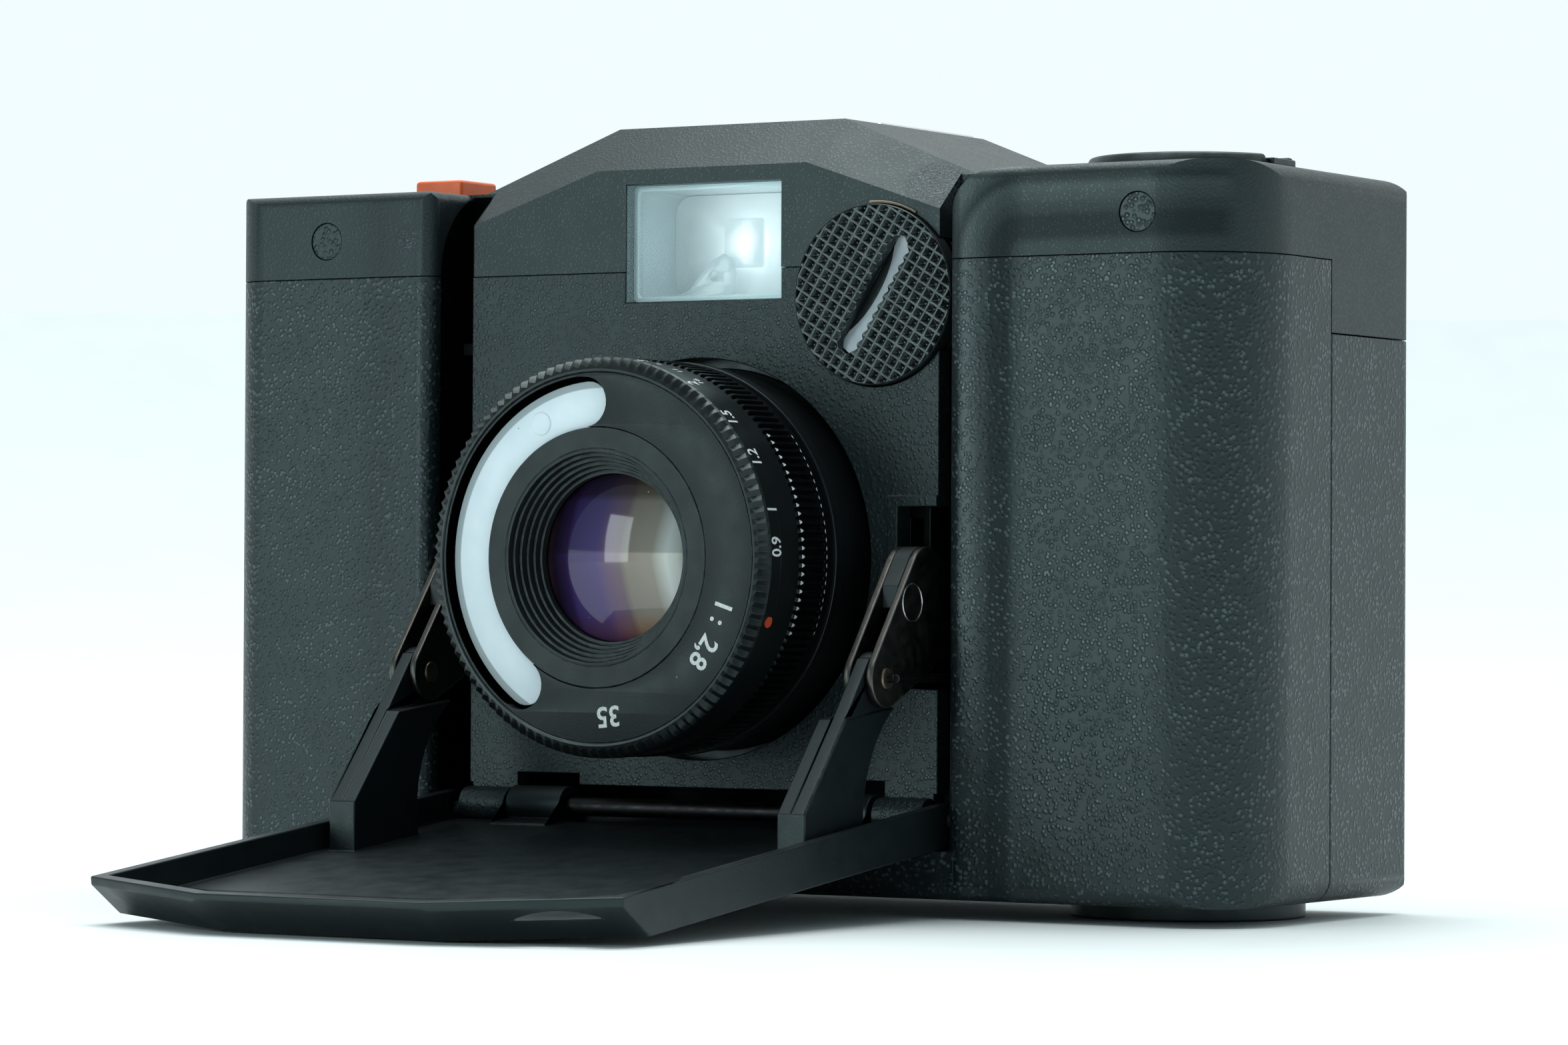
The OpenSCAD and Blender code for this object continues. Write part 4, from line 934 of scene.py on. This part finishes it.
window_low, window_high = low("finder_window"), high("finder_window")
FINDER_DEEP = low("finder_lens").y - window_high.y
FINDER_W, FINDER_H = (window_high.x - window_low.x) / 2 - 0.25, (window_high.z - window_low.z) / 2 - 0.2
sight = facing_front(FINDER_AT.x, window_high.y + 0.1, FINDER_AT.z)


def finder_walls():
    """The pale side walls, narrowing towards the rear glass, and the rim round the window, both glowing as
    painted light.
    """
    w, h = FINDER_W, FINDER_H
    loops = [(rounded_box(w, h, 0.4), 0), (rounded_box(w - 0.7, h - 0.35, 1.6), 0.3 - FINDER_DEEP)]
    n = len(loops[0][0])
    verts = [sight.at(x * grow, y * grow, z) for grow in (1, 1.02) for loop, z in loops for x, y in loop]
    faces = []
    for i in range(n):
        k = (i + 1) % n
        faces += [[a * n + i, a * n + k, b * n + k, b * n + i] for a, b in ((0, 1), (2, 3), (0, 2), (1, 3))]
    Shape().add(verts, faces).piece(
        "finder_walls", "camera_body", "finder_glass", paint=FINDER_WALL, smooth=40)
    outline, hole = rounded_box(w + 0.15, h + 0.12, 0.3), rounded_box(w - 0.42, h - 0.3, 0.35)
    rim = Shape().add(*plate(sight, [outline, hole], -0.45, 0.0))
    rim.piece("finder_rim", "camera_body", "finder_glass", paint=FINDER_RIM)


def finder_rear_glass():
    """The rear glass, dished towards the eye, glowing as painted light."""
    rings = 8
    edge = rounded_box(FINDER_W - 0.75, FINDER_H - 0.4, 1.6, 11)
    m = len(edge)
    shares = [max(r / rings, 0.001) for r in range(rings + 1)]
    verts = [sight.at(x * share, y * share, 0.45 - FINDER_DEEP - 0.9 * (1 - share ** 2))
             for share in shares for x, y in edge]
    verts += [sight.at(x, y, -0.75 - FINDER_DEEP) for x, y in edge]
    start = (rings + 1) * m
    Shape().add(verts, bands(rings + 1, m) + [list(range(start, start + m)), list(range(m))]).piece(
        "finder_rear_glass", "camera_body", "finder_glass", paint=FINDER_VIEW, smooth=50)


def finder_marks():
    """The glowing square of painted light in the rear glass, and the pale pointed blade beside its foot,
    which glows too.
    """
    deep = FINDER_DEEP
    square = plate(sight.moved(0.2, 0.2, 0), [rounded_box(1.9, 2.1, 0.35)], 0.1 - deep, 0.6 - deep, 0.1)
    Shape().add(*square).piece("finder_eye_glow", "camera_body", "finder_glass", paint=FINDER_EYE)
    outline = [(0, 0), (2.0, 0.7), (3.1, 2.0), (4.2, 3.1), (5.4, 3.7), (6.3, 3.2), (6.6, 2.1), (6.5, 0.9),
               (6.2, 0)]
    corner, hole = sight.moved(0.8 - FINDER_W, 0.35 - FINDER_H), arc(4.4, 1.8, 0.42, 0, 360, 16)[:-1]
    blade = plate(corner, [outline, hole], 1.2 - deep, 1.45 - deep)
    Shape().add(*blade).piece("finder_scale_blade", "camera_body", "scale_white", paint=FINDER_WALL)


# ---- links ----

RIVET = (7.81, 25.56)


def link_rivets(side):
    """The rings pressed into both outer faces of a link where its block is fixed."""
    lo, hi = low(side + "_link_plates").x, high(side + "_link_plates").x
    shape = Shape()
    ring = [(1.46, -0.05), (1.46, 0.03), (1.5, 0.06), (1.56, 0.06), (1.6, 0.03), (1.6, -0.05)]
    for seat in (facing_right(hi, *RIVET), facing_left(lo, *RIVET)):
        shape.turned(seat, ring, 40)
    shape.piece(side + "_link_rivets", side + "_link", "link_steel", paint=PAINTS["bright_steel"])


# ---- film sprocket ----

def film_sprocket():
    """The toothed drum that counts the film's holes, on its shaft."""
    lo, hi = low("sprocket"), high("sprocket")
    seat = facing_up((lo.x + hi.x) / 2, (lo.y + hi.y) / 2, lo.z)
    shaft_r, drum_r, tip_r, drum_z, drum_top = 1.5, 5.9, 6.55, 2.8, 5.4
    neck_r, end = shaft_r - 0.02, hi.z - lo.z
    shape = Shape().turned(seat, [(0, 0.05), (shaft_r - 0.1, 0.05), (neck_r, 0.15), (neck_r, drum_z),
                                  (drum_r - 0.1, drum_z), (drum_r, drum_z + 0.1), (drum_r, drum_top - 0.1),
                                  (drum_r - 0.1, drum_top), (neck_r, drum_top), (neck_r, end - 0.15),
                                  (shaft_r - 0.1, end - 0.05), (0, end - 0.05)], 64)
    for i in range(8):
        tooth = seat.moved(0, 0, drum_z + 0.6, TURN * (i + 0.5) / 8)
        shape.prism(tooth, [(5.4, -0.6), (tip_r, -0.35), (tip_r, 0.35), (5.4, 0.6)], 0, 1.4, 0.2)
    shape.piece("film_sprocket_drum", "film_sprocket", "bright_steel", replaces=["sprocket"])


# ---- scene ----

def floor():
    """A pale studio floor that curves up a little far away."""
    flat_r, curve_r = 1600, 1200
    bend = [math.radians(a) for a in range(0, 31, 5)]
    profile = [(0, 0)] + [(flat_r + curve_r * math.sin(a), curve_r - curve_r * math.cos(a)) for a in bend]
    profile += [(2200, 140), (2200, -20), (0, -20)]
    shape = Shape().turned(facing_up(0, 0, 0), profile, 96)
    mesh = closed_mesh("floor", [v * MM for v in shape.verts], shape.faces, 1e-6)
    smoothed(mesh, 30)
    p = Paint("floor_paint", Specular_IOR_Level=0.2)
    p.set("Base Color", p.mix(p.remap(p.noise(60), 0.3, 0.7), (0.86, 0.90, 0.90), (0.88, 0.92, 0.92)))
    p.set("Roughness", p.remap(p.noise(25), 0.3, 0.7, 0.55, 0.7))
    mesh.materials.append(p.material)
    added("floor", mesh)


def softbox(name, at, towards, size, power, colour=(1, 1, 1)):
    light = bpy.data.lights.new(name, "AREA")
    light.shape, light.size, light.size_y = "RECTANGLE", size[0], size[1]
    light.energy, light.color = power, colour
    o = added(name, light)
    o.location = at
    o.rotation_euler = (Vector(towards) - Vector(at)).to_track_quat("-Z", "Y").to_euler()


def lights():
    """A white studio, brightest overhead and dimmer in front, with two soft boxes and an overhead sun."""
    world = bpy.data.worlds.new("studio")
    bpy.context.scene.world = world
    world.use_nodes = True
    nodes, links = world.node_tree.nodes, world.node_tree.links
    split = nodes.new("ShaderNodeSeparateXYZ")
    links.new(nodes.new("ShaderNodeTexCoord").outputs["Generated"], split.inputs[0])
    colour = None
    for axis, start, end, to in (("Y", -0.25, 0.55, (0.89, 0.98, 1.0)), ("Z", 0.80, 1.0, (1.0, 1.08, 1.10))):
        share = nodes.new("ShaderNodeMapRange")
        share.inputs["From Min"].default_value, share.inputs["From Max"].default_value = start, end
        links.new(split.outputs[axis], share.inputs["Value"])
        mixed = nodes.new("ShaderNodeMix")
        mixed.data_type = "RGBA"
        links.new(share.outputs["Result"], mixed.inputs[0])
        if colour:
            links.new(colour, mixed.inputs[6])
        else:
            mixed.inputs[6].default_value = (0.20, 0.28, 0.30, 1)
        mixed.inputs[7].default_value = (*to, 1)
        colour = mixed.outputs[2]
    links.new(colour, nodes["Background"].inputs["Color"])
    softbox("key", (-0.42, -0.81, 0.16), (0, 0, 0.03), (0.26, 0.45), 1.9, (0.88, 1.0, 1.0))
    softbox("top", (-0.25, -0.35, 0.85), (0, 0, 0.03), (0.5, 0.5), 1.2)
    overhead = bpy.data.lights.new("overhead", "SUN")
    overhead.energy, overhead.angle, overhead.color = 1.9, math.radians(50), (0.95, 1.0, 1.0)
    o = added("overhead", overhead)
    o.rotation_euler = (math.radians(-14), math.radians(-8), 0)


def camera():
    """The camera at the photograph's angle."""
    data = bpy.data.cameras.new("camera")
    data.lens, data.sensor_width = 124.85, 36.0
    data.clip_start, data.clip_end = 0.02, 20
    o = added("camera", data)
    yaw, pitch, roll = (math.radians(a) for a in (31.85, 0.78, -0.29))
    turn = (Matrix.Rotation(yaw, 3, "Z") @ Matrix.Rotation(pitch, 3, "X") @ Matrix.Rotation(roll, 3, "Y"))
    right, ahead, up = turn.col[0], turn.col[1], turn.col[2]
    basis = Matrix((right, up, -ahead)).transposed()
    o.matrix_world = Matrix.Translation(Vector((243.6, -369.857, 26.0)) * MM) @ basis.to_4x4()
    bpy.context.scene.camera = o


bpy.context.scene.view_settings.view_transform = "Standard"
for slot, nodes in KEPT.items():
    for node, bevel in nodes.items():
        keep(node, PAINTS[slot], bevel)
for node, bevel in (("hinge_shaft", 0.1), ("left_pull_wire", 0.0), ("right_pull_wire", 0.0)):
    keep(node, DARK_WIRE, bevel)
keep("screw_covers", DIMPLED, 0.1)
keep("eyepiece_lens", EYEPIECE_GLASS, 0.1)
focus_ring()
focus_figures()
aperture_ring()
aperture_glints()
barrel_figures()
face_rings()
meter_well()
plate_figures()
meter_window()
baffle()
lens_glass()
cap_grid()
cap_body()
cap_scoop()
contact_leaf()
finder_walls()
finder_rear_glass()
finder_marks()
film_sprocket()
for side in ("left", "right"):
    link_rivets(side)
floor()
lights()
camera()
